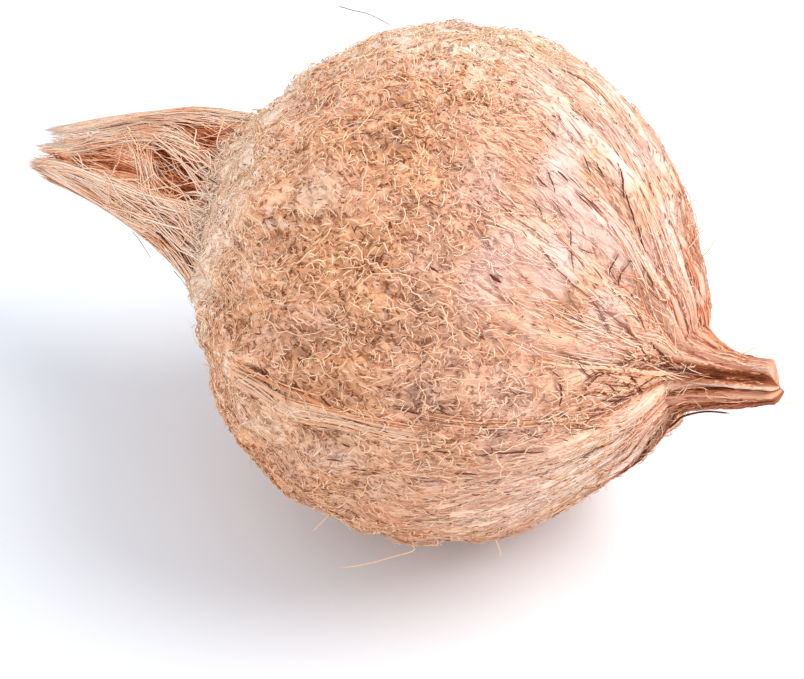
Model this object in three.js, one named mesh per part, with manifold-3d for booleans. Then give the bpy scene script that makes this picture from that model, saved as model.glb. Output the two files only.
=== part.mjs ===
// A semi-husked coconut lying on its side: a round nut still wrapped in a mat of coarse husk
// fibre, with a three-sided tuft of husk left over its eyes and a short pointed beak at the
// other end. It grew as one piece, so it is one solid.
//
// Units are millimetres. X is the nut's long axis, with the tuft towards -X and the beak
// towards +X. Z is up, and the origin is the middle of the flat spot that it rests on.
// Round the long axis, an angle of 0 is the top and a quarter turn is the -Y side.
import * as THREE from "three";
import { mergeVertices } from "three/addons/utils/BufferGeometryUtils.js";
import Module from "manifold-3d";

const wasm = await Module();
wasm.setup();

const TURN = 2 * Math.PI;
const degrees = THREE.MathUtils.degToRad;
const { clamp, lerp, smoothstep } = THREE.MathUtils;

// ---- Driving dimensions -----------------------------------------------------------------

const BODY_RADIUS = 58; // across the long axis, over the fibre
const TUFT_END_HALF = 50.3; // centre to the pole under the tuft
const TUFT_END_FULLNESS = 2.12; // 2 is an ellipse, and more fills the shoulder out
const BEAK_END_HALF = 59.5; // centre to the pole that the beak is drawn out from
const FLAT_DEPTH = 0.9; // how much of the lowest point is pressed flat
const CENTRE_HEIGHT = BODY_RADIUS - FLAT_DEPTH;

const BEAK = {
  end: 80, // where the beak is broken off, along X
  endRadius: 4.1,
  rootX: 44, // where the nut starts to draw out into the beak
  flare: 15, // radius that the root adds to the end
  flarePower: 2.3,
  blend: 8,
  bendFrom: 50,
  bendPower: 1.6,
  lift: 5.6, // how far the broken end bends up
  sway: -1.2, // and towards the -Y side
  strands: 7,
  strandRoot: 62,
};

const TUFT = {
  rootX: -40, // inside the nut, so that the husk is rooted in it
  tipX: -111,
  tipDrift: [1.2, -2.2], // how far the tip lies off the long axis, in Y and Z
  edges: [degrees(-34), degrees(86), degrees(206)], // the three corners of the pyramid
  edgeRadius: [29.5, 32.5, 31],
  edgePower: [0.8, 1.65, 1.2], // how quickly each corner draws in towards the tip
  edgeWidth: 0.5,
  faceRadius: 21,
  tipRadius: 7.3,
  bodyShare: 0.9, // the folded husk against the strands that lie over it
  bodyEnd: 0.9, // where it stops short of their tips
  folds: 16,
  foldDepth: 0.09,
  strands: 13,
  tongues: [degrees(-40), degrees(40), degrees(110), degrees(215)],
};

// Relief on the husk. Each wave has a height, a whole number of crests round the nut, a pitch
// along it, and a number of bends that keep the crests from running straight.
const SUTURES = [
  { at: degrees(-38), height: 0.6 },
  { at: degrees(82), height: 1.5 },
  { at: degrees(202), height: 1.5 },
];
const SUTURE_WIDTH = 0.13;
const SHOULDER_HEIGHT = 0.5; // the nut is faintly three-sided, with a suture on each corner
const BEAK_BANDS = [
  { height: 0.6, crests: 19, pitch: 90, bends: 2, bend: 0.6, phase: 0.7 },
  { height: 0.5, crests: 13, pitch: 40, bends: 2, bend: 0.5, phase: 2.1 },
  { height: 0.35, crests: 7, pitch: 90, bends: 2, bend: 0.3, phase: -0.4 },
];
const MAT_STREAKS = [
  { height: 0.6, crests: 26, pitch: 12, bends: 4, bend: 2, phase: 0 },
  { height: 0.5, crests: 23, pitch: 4.2, bends: 5, bend: 3, phase: 1 },
  { height: 0.45, crests: 9, pitch: -2.9, bends: 3, bend: 2.5, phase: 2 },
];
const BANDED = { from: -5, to: 50 }; // X where the matting gives way to bands
const POLE_FADE = { from: 4, to: 24 }; // radius over which the relief dies away at the poles
const REST_FADE = { from: 11, to: 24 }; // and distance from the flat spot

const LOOSE = { count: 27, fromX: -42, toX: 48, halfWidth: 0.6, halfThickness: 0.45, sunk: 1.3 };
const HUSK_SIDES = 80;
const BODY_RINGS = 29;
const BEAK_RINGS = 5;
const TUFT_SIDES = 48;
const TUFT_RINGS = 11;
const SEED = 20;

// ---- Small helpers ----------------------------------------------------------------------

/** A seeded random draw between 0 and 1, the same each run. */
function makeRandom(seed) {
  let state = seed >>> 0;
  return () => {
    state = (state + 0x6d2b79f5) >>> 0;
    let t = Math.imul(state ^ (state >>> 15), 1 | state);
    t = (t + Math.imul(t ^ (t >>> 7), 61 | t)) ^ t;
    return ((t ^ (t >>> 14)) >>> 0) / 4294967296;
  };
}

const random = makeRandom(SEED);
const between = (low, high) => lerp(low, high, random());

/** The larger of a and b, rounded where they meet within the width k. */
function smoothMax(a, b, k) {
  const h = clamp(0.5 + (0.5 * (a - b)) / k, 0, 1);
  return lerp(b, a, h) + k * h * (1 - h);
}

/** The signed angle from b to a, between minus and plus half a turn. */
function angleGap(a, b) {
  return a - b - TURN * Math.round((a - b) / TURN);
}

/** A point at a distance from the long axis and an angle round it. */
function around(x, radius, angle, centreY = 0, centreZ = 0) {
  return new THREE.Vector3(
    x,
    centreY - radius * Math.sin(angle),
    centreZ + CENTRE_HEIGHT + radius * Math.cos(angle),
  );
}

/** A closed geometry from rings of points, joined ring to ring, with a flat fan on each end. */
function closedRings(rings) {
  const sides = rings[0].length;
  const points = rings.flat();
  const faces = [];
  for (let i = 0; i + 1 < rings.length; i++) {
    for (let j = 0; j < sides; j++) {
      const a = i * sides + j;
      const b = i * sides + ((j + 1) % sides);
      faces.push(a, b, a + sides, b, b + sides, a + sides);
    }
  }
  for (const [first, turned] of [[0, true], [(rings.length - 1) * sides, false]]) {
    const middle = new THREE.Vector3();
    for (let j = 0; j < sides; j++) middle.addScaledVector(points[first + j], 1 / sides);
    points.push(middle);
    for (let j = 0; j < sides; j++) {
      const a = first + j;
      const b = first + ((j + 1) % sides);
      faces.push(...(turned ? [b, a, points.length - 1] : [a, b, points.length - 1]));
    }
  }
  const geometry = new THREE.BufferGeometry().setFromPoints(points);
  geometry.setIndex(faces);
  return geometry;
}

/** A three.js geometry as a manifold-3d solid, turned so that its faces point out. */
function solidOf(geometry) {
  const bare = geometry.clone();
  bare.deleteAttribute("normal");
  bare.deleteAttribute("uv");
  const merged = mergeVertices(bare, 1e-4);
  const vertProperties = merged.attributes.position.array;
  const triVerts = new Uint32Array(merged.index.array);
  const solid = new wasm.Manifold(new wasm.Mesh({ numProp: 3, vertProperties, triVerts }));
  if (solid.volume() > 0) return solid;
  for (let i = 0; i < triVerts.length; i += 3) {
    [triVerts[i + 1], triVerts[i + 2]] = [triVerts[i + 2], triVerts[i + 1]];
  }
  return new wasm.Manifold(new wasm.Mesh({ numProp: 3, vertProperties, triVerts }));
}

/** A manifold-3d solid as a three.js geometry. */
function geometryOf(solid) {
  const mesh = solid.getMesh();
  const positions = new THREE.BufferAttribute(mesh.vertProperties, mesh.numProp);
  return new THREE.BufferGeometry()
    .setAttribute("position", positions)
    .setIndex(new THREE.BufferAttribute(mesh.triVerts, 1));
}

/**
 * A strand of husk: a tapered band along a curve. size(t) gives its half width and half
 * thickness, and outward(point) the direction that its flat side faces.
 */
function strand(points, size, outward, { steps = 4, sides = 4 } = {}) {
  const curve = new THREE.CatmullRomCurve3(points);
  const rings = [];
  for (let i = 0; i <= steps; i++) {
    const t = i / steps;
    const at = curve.getPoint(t);
    const along = curve.getTangent(t);
    const across = new THREE.Vector3().crossVectors(along, outward(at)).normalize();
    const up = new THREE.Vector3().crossVectors(across, along).normalize();
    const [halfWidth, halfThickness] = size(t);
    rings.push(
      Array.from({ length: sides }, (_, j) => {
        const angle = ((j + 0.5) / sides) * TURN;
        return at
          .clone()
          .addScaledVector(across, (halfWidth * Math.cos(angle)) / Math.cos(Math.PI / sides))
          .addScaledVector(up, (halfThickness * Math.sin(angle)) / Math.cos(Math.PI / sides));
      }),
    );
  }
  return solidOf(closedRings(rings));
}

const awayFromAxis = (p) => new THREE.Vector3(0, p.y, p.z - CENTRE_HEIGHT);
const awayFromCentre = (p) => new THREE.Vector3(p.x, p.y, p.z - CENTRE_HEIGHT);

// ---- The nut and its beak ---------------------------------------------------------------

/** The radius of the nut and its beak at x, before any relief. */
function profile(x) {
  const [half, fullness] = x < 0 ? [TUFT_END_HALF, TUFT_END_FULLNESS] : [BEAK_END_HALF, 2];
  const nut = BODY_RADIUS * Math.max(0, 1 - Math.abs(x / half) ** fullness) ** (1 / fullness);
  if (x < BEAK.rootX - BEAK.blend) return nut;
  const towardsRoot = clamp((BEAK.end - x) / (BEAK.end - BEAK.rootX), 0, 1);
  const beak = BEAK.endRadius + BEAK.flare * towardsRoot ** BEAK.flarePower;
  return smoothMax(nut, beak, BEAK.blend);
}

/** How far the middle of the beak has bent from the long axis at x, in Y and Z. */
function beakBend(x) {
  const share = clamp((x - BEAK.bendFrom) / (BEAK.end - BEAK.bendFrom), 0, 1) ** BEAK.bendPower;
  return [BEAK.sway * share, BEAK.lift * share];
}

/** The summed height of a list of waves. */
function waves(list, x, angle) {
  return list.reduce((sum, { height, crests, pitch, bends, bend, phase }) => {
    const turned = crests * angle + x / pitch + bend * Math.sin(bends * angle) + phase;
    return sum + height * Math.cos(turned);
  }, 0);
}

/** The three raised sutures that run from pole to pole. */
function sutureHeight(angle) {
  return SUTURES.reduce(
    (sum, { at, height }) => sum + height * Math.exp(-((angleGap(angle, at) / SUTURE_WIDTH) ** 2)),
    SHOULDER_HEIGHT * Math.cos(3 * (angle - SUTURES[0].at)),
  );
}

/** Relief over the husk: streaks of matting that give way to bands drawn to the beak. */
function relief(x, angle) {
  const toBeak = smoothstep(x, BANDED.from, BANDED.to);
  const bands = waves(BEAK_BANDS, x, angle);
  const streaks = waves(MAT_STREAKS, x, angle);
  const offPoles = smoothstep(profile(x), POLE_FADE.from, POLE_FADE.to);
  const fromRest = Math.hypot(x, BODY_RADIUS * angleGap(angle, Math.PI));
  const offRest = smoothstep(fromRest, REST_FADE.from, REST_FADE.to);
  const onNut = offPoles * offRest * (sutureHeight(angle) + lerp(streaks, bands, toBeak));
  const onBeak = 0.5 * (1 - offPoles) * toBeak * bands;
  return onNut + onBeak;
}

/** Where the rings stand along X: close together where the nut turns in towards each pole. */
function ringPlaces() {
  const firstTurn = 0.35; // leaves a small first ring at the tuft's pole
  const beakPole = BEAK_END_HALF - 1.5;
  const places = [];
  for (let i = 0; i <= BODY_RINGS; i++) {
    const x = -Math.cos((Math.PI * (i + firstTurn)) / (BODY_RINGS + firstTurn));
    places.push(x * (x < 0 ? TUFT_END_HALF : beakPole));
  }
  for (let i = 1; i <= BEAK_RINGS; i++) places.push(lerp(beakPole, BEAK.end, i / BEAK_RINGS));
  return places;
}

/** A point on the husk, lifted by height above its relief. */
function huskPoint(x, angle, height = 0) {
  const [y, z] = beakBend(x);
  return around(x, profile(x) + relief(x, angle) + height, angle, y, z);
}

function makeHusk() {
  const rings = ringPlaces().map((x) =>
    Array.from({ length: HUSK_SIDES }, (_, j) => huskPoint(x, (j / HUSK_SIDES) * TURN)),
  );
  return solidOf(closedRings(rings));
}

/** Ragged strands that part from the beak and run on past its broken end. */
function makeBeakStrands() {
  return Array.from({ length: BEAK.strands }, (_, i) => {
    const angle = (i / BEAK.strands) * TURN + between(-0.2, 0.2);
    const end = BEAK.end + between(-1.5, 2);
    const twist = between(0.2, 0.5);
    const points = [0, 0.33, 0.67, 1].map((t) => {
      const x = lerp(BEAK.strandRoot, end, t);
      const [y, z] = beakBend(x);
      const height = lerp(-1.6, 0.3, Math.sqrt(t));
      return around(x, profile(Math.min(x, BEAK.end)) + height, angle + twist * t, y, z);
    });
    const width = between(1.1, 1.7);
    return strand(points, (t) => [width * (1 - 0.45 * t), 0.75 * (1 - 0.3 * t)], awayFromAxis);
  });
}

// ---- The tuft ---------------------------------------------------------------------------

/** The outer radius of the tuft at a share of its length from root to tip. */
function tuftRadius(share, angle) {
  const nearness = TUFT.edges.map((at) => Math.exp(-((angleGap(angle, at) / TUFT.edgeWidth) ** 2)));
  const total = nearness.reduce((a, b) => a + b);
  const weighted = (values) => values.reduce((sum, v, i) => sum + v * nearness[i], 0) / total;
  const root = lerp(TUFT.faceRadius, weighted(TUFT.edgeRadius), Math.min(1, total));
  const drawnIn = (1 - share) ** weighted(TUFT.edgePower);
  return lerp(TUFT.tipRadius, root, drawnIn);
}

function tuftPoint(share, angle, scale = 1) {
  const x = lerp(TUFT.rootX, TUFT.tipX, share);
  const radius = scale * tuftRadius(clamp(share, 0, 1), angle);
  const [driftY, driftZ] = TUFT.tipDrift;
  return around(x, radius, angle, driftY * share, driftZ * share);
}

/** The body of the tuft: husk in long folds that run from the shell to the tip. */
function makeTuftBody() {
  const rings = Array.from({ length: TUFT_RINGS }, (_, i) => {
    const share = (TUFT.bodyEnd * i) / (TUFT_RINGS - 1);
    return Array.from({ length: TUFT_SIDES }, (_, j) => {
      const angle = (j / TUFT_SIDES) * TURN;
      const twisted = angle + 0.2 * Math.sin(3 * share + 2 * angle);
      const fold = Math.cos(TUFT.folds * twisted) + 0.5 * Math.cos(7 * twisted - 4 * share);
      return tuftPoint(share, angle, TUFT.bodyShare + TUFT.foldDepth * fold * (1 - 0.5 * share));
    });
  });
  return solidOf(closedRings(rings));
}

/** Broad strands over the folds, drawn together at the tip into a few tongues. */
function makeTuftStrands() {
  return Array.from({ length: TUFT.strands }, (_, i) => {
    const angle = (i / TUFT.strands) * TURN + between(-0.08, 0.08);
    const tongue = TUFT.tongues.reduce((a, b) =>
      Math.abs(angleGap(angle, a)) < Math.abs(angleGap(angle, b)) ? a : b,
    );
    const turnIn = 0.8 * angleGap(tongue, angle);
    const reach = between(0.97, 1.06);
    const bow = between(-0.09, 0.09);
    const points = [0, 0.25, 0.5, 0.75, 1].map((t) =>
      tuftPoint(t * reach, angle + turnIn * t ** 2 + bow * Math.sin(Math.PI * t)),
    );
    const width = between(1.8, 3.2);
    return strand(points, (t) => [width * (1 - 0.5 * t), 1 - 0.4 * t], awayFromAxis);
  });
}

/** Thinner strands that cross from one corner of the tuft to another over its faces. */
function makeTuftCrossings() {
  const crossings = [
    { from: [0.1, degrees(-28)], to: [0.5, degrees(62)] },
    { from: [0.12, degrees(70)], to: [0.7, degrees(10)] },
    { from: [0.1, degrees(130)], to: [0.6, degrees(190)] },
  ];
  return crossings.map(({ from, to }) => {
    const points = [0, 0.33, 0.67, 1].map((t) => {
      const sunk = 0.12 * (2 * t - 1) ** 4;
      return tuftPoint(lerp(from[0], to[0], t), lerp(from[1], to[1], t), 1.03 - sunk);
    });
    return strand(points, () => [0.75, 0.6], awayFromAxis, { sides: 3 });
  });
}

// ---- Loose fibre on the nut -------------------------------------------------------------

/** One coarse fibre, which arches from end to end or, if free, lifts at its far end. */
function looseFibre(x, angle, free) {
  const length = free ? between(7, 11) : between(12, 22);
  const lean = x > 12 ? between(-0.3, 0.3) : between(-1.5, 1.5);
  const curl = between(-0.7, 0.7);
  const points = [0, 0.33, 0.67, 1].map((t) => {
    const along = (t - 0.5) * length;
    const side = curl * length * t * (1 - t);
    const dx = along * Math.cos(lean) - side * Math.sin(lean);
    const turn = (along * Math.sin(lean) + side * Math.cos(lean)) / profile(x);
    const lifted = free ? lerp(-LOOSE.sunk, 2.2, t) : lerp(-LOOSE.sunk, 0.9, Math.sin(Math.PI * t));
    return huskPoint(x + dx, angle + turn, lifted);
  });
  const size = () => [LOOSE.halfWidth, LOOSE.halfThickness];
  return strand(points, size, awayFromCentre, { sides: 3 });
}

/** Coarse fibres evenly over the nut, clear of the flat spot. Every third one has a free end. */
function makeLooseFibres() {
  const golden = Math.PI * (3 - Math.sqrt(5));
  const places = Array.from({ length: LOOSE.count }, (_, i) => ({
    x: lerp(LOOSE.fromX, LOOSE.toX, (i + 0.5) / LOOSE.count),
    angle: i * golden,
    free: i % 3 === 0,
  }));
  const overFlat = ({ x, angle }) => Math.abs(x) < 28 && Math.abs(angleGap(angle, Math.PI)) < 0.5;
  return places
    .filter((place) => !overFlat(place))
    .map(({ x, angle, free }) => looseFibre(x, angle, free));
}

// ---- Joining and resting ----------------------------------------------------------------

/** All the pieces as one solid, with any scrap that is cut off from it dropped. */
function joined(solids) {
  const whole = solids.reduce((a, b) => a.add(b));
  return whole.decompose().reduce((a, b) => (a.volume() > b.volume() ? a : b));
}

/** The solid with everything below the surface that it rests on taken off. */
function restedFlat(solid) {
  const size = 400;
  const below = new THREE.BoxGeometry(size, size, size).translate(0, 0, -size / 2);
  return solid.subtract(solidOf(below));
}

function makeCoconut() {
  const whole = joined([
    makeHusk(),
    makeTuftBody(),
    ...makeTuftStrands(),
    ...makeTuftCrossings(),
    ...makeBeakStrands(),
    ...makeLooseFibres(),
  ]);
  const husk = new THREE.MeshStandardMaterial({ color: 0xc08a5e, roughness: 0.9, metalness: 0 });
  const mesh = new THREE.Mesh(geometryOf(restedFlat(whole)), husk);
  mesh.name = "coconut";
  return mesh;
}

const coconut = new THREE.Group();
coconut.add(makeCoconut());

export default coconut;
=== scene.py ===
"""A semi-husked coconut lying on its side, dressed over its CAD frame.

Units here are millimetres, turned to metres as each mesh is made. X is the nut's long axis
(tuft at -X, beak at +X), Z is up and the origin is the flat spot that the nut rests on. A place
on the husk is given by its distance along the nut's outline from the pole under the tuft, and
by the angle round the long axis, where 0 is the top and a quarter turn is the -Y side. A place
on the tuft is given by its share of the way from root to tip, and by the same angle.
"""
import math

import bpy
import numpy as np
from mathutils import Matrix, Vector


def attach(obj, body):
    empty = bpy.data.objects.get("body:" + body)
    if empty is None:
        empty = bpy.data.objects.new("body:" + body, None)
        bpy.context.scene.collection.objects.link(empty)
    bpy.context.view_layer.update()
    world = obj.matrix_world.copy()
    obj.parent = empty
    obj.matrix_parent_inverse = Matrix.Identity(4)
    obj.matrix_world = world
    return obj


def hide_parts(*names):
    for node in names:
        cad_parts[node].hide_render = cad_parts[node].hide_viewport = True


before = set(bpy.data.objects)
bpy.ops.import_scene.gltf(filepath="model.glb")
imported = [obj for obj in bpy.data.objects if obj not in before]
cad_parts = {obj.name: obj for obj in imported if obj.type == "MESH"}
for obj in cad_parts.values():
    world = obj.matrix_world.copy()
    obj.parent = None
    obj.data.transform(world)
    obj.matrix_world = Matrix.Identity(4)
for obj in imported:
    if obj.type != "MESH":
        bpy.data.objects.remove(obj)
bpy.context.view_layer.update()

MM = 0.001
TURN = 2 * math.pi

# ---- The form, as the CAD has it --------------------------------------------------------

BODY_RADIUS = 58.0
TUFT_END_HALF = 50.3
TUFT_END_FULLNESS = 2.12
BEAK_END_HALF = 59.5
CENTRE_HEIGHT = 57.1
BEAK_END = 80.0
BEAK_END_RADIUS = 4.1
BEAK_ROOT = 44.0
BEAK_FLARE = 15.0
BEAK_FLARE_POWER = 2.3
BEAK_BLEND = 8.0
BEAK_BEND_FROM = 50.0
BEAK_BEND_POWER = 1.6
BEAK_LIFT = 5.6
BEAK_SWAY = -1.2

TUFT_ROOT = -40.0
TUFT_TIP = -111.0
TUFT_TIP_DRIFT = (1.2, -2.2)
TUFT_EDGES = np.radians([-34, 86, 206])
TUFT_EDGE_RADIUS = np.array([29.5, 32.5, 31.0])
TUFT_EDGE_POWER = np.array([0.8, 1.65, 1.2])
TUFT_EDGE_WIDTH = 0.5
TUFT_FACE_RADIUS = 21.0
TUFT_TIP_RADIUS = 7.3

SUTURES = [(math.radians(-38), 0.6), (math.radians(82), 1.5), (math.radians(202), 1.5)]
SUTURE_WIDTH = 0.13
SHOULDER_HEIGHT = 0.5
BANDED = (-5.0, 50.0)  # x where the matting gives way to bands
POLE_FADE = (4.0, 24.0)  # radius over which the relief dies away at the poles
REST_FADE = (11.0, 24.0)  # and the distance from the flat spot
# Waves of relief: height, crests round the nut, pitch along it, bends, bend and phase.
BEAK_BANDS = [(0.6, 19, 90, 2, 0.6, 0.7), (0.5, 13, 40, 2, 0.5, 2.1), (0.35, 7, 90, 2, 0.3, -0.4)]
MAT_STREAKS = [(0.6, 26, 12, 4, 2, 0), (0.5, 23, 4.2, 5, 3, 1), (0.45, 9, -2.9, 3, 2.5, 2)]

# ---- What grows where, by x in mm and angle in degrees ----------------------------------

# Where the fibre starts to be combed towards the beak: angle, x.
COMBED_FROM = [
    (-180, 4), (-120, 2), (-60, 0), (-20, 2), (10, 8), (30, 14), (50, 24), (70, 36), (84, 38), (96, 8),
    (130, 8), (160, 10),
]
COMBED_OVER = 22.0

# Grey-beige felt where the loose fibre has rubbed off: x, angle, radius in mm, strength.
DUSTY = [
    (-8, 40, 5, 0.6), (-18, 60, 4, 0.5), (-30, 47, 8, 0.7), (-34, 70, 6, 0.6), (-34, 20, 6, 0.6),
    (-10, 92, 11, 0.6), (12, 92, 8, 0.4), (-14, -34, 24, 0.35), (8, -40, 16, 0.3), (2, 128, 12, 0.4),
    (35, 29, 4, 0.5), (30, 118, 9, 0.3), (-24, 150, 12, 0.4), (-20, -70, 10, 0.5), (10, -110, 12, 0.4),
    (-15, -160, 10, 0.5),
    # the smooth band under the near suture
    (-19, 84, 2.8, 1), (-14, 84, 2.8, 1), (-9, 84.5, 2.8, 1), (-4, 84.5, 2.6, 1), (1, 84, 2.4, 1),
    (6, 84, 2.4, 0.95), (11, 84, 2.2, 0.9), (16, 84.5, 2.0, 0.8), (21, 85, 2.0, 0.7),
]

# Painted light: where the fibre is made paler to stand in for light, on the top and far rim, the left side
# and the lower limb: x, angle, radius in mm, strength.
PAINTED_LIGHT = [
    (-30, -30, 34, 0.5), (0, -36, 30, 0.8), (20, -40, 22, 0.4), (-40, 40, 26, 0.4), (-38, 90, 24, 0.35),
    (30, 130, 30, 0.15), (52, 122, 20, 0.45), (-20, 200, 40, 0.15), (10, -120, 40, 0.1),
]

# Cracks, sunk in the skin and painted dark, partly their own darker fibre and partly painted shade: x, angle,
# heading in degrees off the way to the beak, length, half width, greyness.
CRACKS = [
    (31.6, 17.5, 10, 3.4, 0.18, 0.1), (34, 12.4, 10, 3.2, 0.2, 0), (39, 14.2, 5, 5.5, 0.15, 0.2),
    (36.5, 20, 12, 5, 0.12, 0.3), (41.6, 27, 62, 10, 0.13, 0), (44.2, 24, -20, 4, 0.12, 0),
    (48, 38.5, 15, 9, 0.13, 0.5), (56.5, 48, 25, 6, 0.2, 0.4), (48.4, 21.4, 70, 5, 0.14, 0),
    (50.2, 21.4, 70, 6, 0.12, 0), (47, 28, 20, 3.5, 0.11, 0.1), (49.5, 24, 10, 4, 0.1, 0.2),
    (43, 36, 8, 12, 0.15, 0.5), (50, 41, 25, 6.5, 0.14, 0.9), (35, 29, 4, 9, 0.2, 0.9),
    (54, 32, 18, 9, 0.17, 0.5), (40, 13, -5, 8.5, 0.14, 0.2), (27, 36, 35, 6.5, 0.11, 0.5),
    (32, 44, 15, 3, 0.48, 0), (33, 16, 40, 5, 0.14, 0), (33, -19, 5, 2, 0.24, 0),
    (38, -24, 15, 7.5, 0.15, 0), (22, -23, -20, 11, 0.15, 0.3), (30, -9, 15, 6, 0.14, 0),
    (38, 1, 20, 4, 0.15, 0), (42, -2, 35, 7, 0.25, 0), (45.5, 1, 22, 8, 0.21, 0),
    (49.5, 4, 18, 6, 0.16, 0), (45, 41, 30, 6, 0.14, 0.9), (51, 43, 35, 5, 0.15, 0.9),
    (53, 40, 10, 15, 0.19, 0.7), (36, 3, 30, 5, 0.12, 0), (58, 42, 10, 8.5, 0.28, 0),
    (59, 50, 15, 7, 0.28, 0), (55, 51, 20, 4, 0.15, 0), (46, -7, 15, 6, 0.12, 0.2),
    (57, 74, 40, 4, 0.28, 0), (56, 65, 40, 2.5, 0.24, 0), (50, 62, 35, 5, 0.12, 0),
    (51, -9, 8, 7, 0.12, 0.1), (48, 58, 10, 9, 0.15, 0.6), (46, 64, 35, 4.5, 0.14, 0),
    (47, 70, 80, 6, 0.22, 0), (53, 14, 12, 6, 0.11, 0.3), (30, 88, 0, 5, 0.15, 0),
    (41, 89, 5, 16, 0.2, 0), (34, 95, 10, 5, 0.15, 0), (27, 3, 15, 6, 0.11, 0),
    (9, 94, -5, 3.5, 0.15, 0), (11, 90, 10, 2.5, 0.2, 0), (-8, 80, 25, 2, 0.2, 0),
    (34, 23, 30, 5, 0.12, 0), (1, 73, 30, 2, 0.28, 0), (3, 76, 30, 3, 0.24, 0.1),
    (7, 80, 25, 3.5, 0.19, 0), (29, 28, 15, 5, 0.12, 0.3), (23, 78, 5, 5.5, 0.19, 0),
    (29, 77, 15, 4.5, 0.15, 0), (44, 84, 25, 6, 0.15, 0.2), (38, 33, 25, 5, 0.12, 0.4),
    (15, 97, 10, 6.5, 0.12, 0.1), (50, 84, 15, 12, 0.15, 0.5), (21, 47, 10, 3, 0.32, 0),
    (24, 30, 20, 5, 0.1, 0.2),
]

# Bundles of strands on the husk: count, spread in mm, half width, tone, height, knots (x, angle).
HUSK_BUNDLES = [
    # the beige band under the near suture, and the ridge over it
    (40, 2.8, (0.12, 0.26), (0.3, 0.6), -0.5,
     [(-24, 84), (-14, 84.5), (-4, 84.5), (8, 84), (20, 84.5), (32, 86)]),
    (9, 0.6, (0.1, 0.18), (0.1, 0.5), -0.45, [(-21, 78.5), (-12, 81), (1, 80.5), (12, 81.5), (24, 82)]),
    (14, 1.4, (0.08, 0.2), (0.2, 0.6), -0.5, [(20, 79), (34, 80), (45, 80), (53, 82), (60, 91)]),
    # russet and orange streaks on the far rim
    (12, 1.2, (0.1, 0.3), (-0.1, 0.2), 0.1, [(18.6, -24), (24, -28), (31, -31)]),
    (7, 0.6, (0.1, 0.3), (-0.1, 0.15), 0.1, [(34, -27), (37.5, -26.4), (40, -23)]),
    (8, 0.6, (0.12, 0.3), (-0.1, 0.1), 0.1, [(53, -31), (55, -32), (57, -33)]),
    (7, 0.5, (0.12, 0.3), (-0.1, 0.1), 0.1, [(55.5, 3), (57.2, 7), (58.6, 12)]),
    (8, 0.7, (0.12, 0.3), (-0.1, 0.1), 0.1, [(57.5, -34), (59.5, -38), (62, -41)]),
    (6, 0.5, (0.1, 0.25), (-0.1, 0.2), 0.05, [(46, 4), (49, 7), (51, 9)]),
    (6, 1.0, (0.1, 0.22), (0.0, 0.3), 0.0, [(38, 24), (42, 27), (46, 29)]),
    # fine pale strands along the rim and down into the beak
    (24, 5, (0.08, 0.2), (0.35, 0.9), -0.3, [(26, -12), (38, -12), (48, -8), (58, -6), (66, -14)]),
    (16, 3, (0.08, 0.2), (0.35, 0.9), -0.3, [(38, 8), (48, 10), (56, 14), (62, 20), (67, 16)]),
    (14, 1.8, (0.08, 0.22), (0.4, 0.8), -0.35, [(38, 60), (46, 60), (54, 60), (60, 68), (66, 78)]),
    (12, 1.8, (0.08, 0.22), (0.4, 0.8), -0.35, [(40, 46), (50, 46), (57, 46), (62, 52)]),
    (16, 2.4, (0.08, 0.2), (0.4, 0.9), -0.45, [(20, 101), (36, 101), (48, 100), (57, 100), (63, 98)]),
    (16, 2.6, (0.08, 0.2), (0.4, 0.9), -0.45, [(14, 116), (32, 118), (46, 120), (56, 122), (63, 118)]),
    (14, 2.6, (0.08, 0.2), (0.4, 0.9), -0.45, [(6, 130), (28, 132), (44, 134), (56, 134), (63, 128)]),
    # russet dashes along the lower limb, where it draws in to the beak
    (5, 0.5, (0.12, 0.3), (-0.1, 0.1), -0.1, [(55, 152), (57, 151), (59, 150), (61, 148)]),
]

# Long curls that lie on the mat: half width, knots (x, angle).
CURLS = [
    (0.17,
     [(-31, 63), (-26, 58), (-18, 59), (-15, 62), (-12, 66), (-8, 69), (-3, 69), (5, 65), (9, 58),
     (9, 54), (13, 51), (20, 50), (23, 52)]),
    (0.2, [(-18, 59), (-13, 58), (-9, 57.5), (-5, 54.5), (-2, 49), (-1, 46)]),
    (0.22, [(3, 51), (9, 50), (16, 51.5), (22, 54)]),
    (0.2, [(13, 58), (20, 56.5), (27, 57), (32, 60)]),
    (0.14, [(-24, 51), (-20, 53), (-14, 56)]),
    (0.15, [(29, 92), (33, 85), (38, 88), (45, 85)]),
    (0.16, [(-19, 92), (-16, 86), (-9, 80), (-3, 81)]),
    (0.2, [(34, 24), (36, 24), (38, 21.5)]),
    (0.14, [(-20, 20), (-14, 14), (-8, 16), (-5, 24), (-9, 29)]),
    (0.13, [(-2, -2), (4, 3), (11, 2), (15, -5)]),
    (0.14, [(-12, 108), (-5, 112), (2, 108), (4, 101)]),
]

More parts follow.
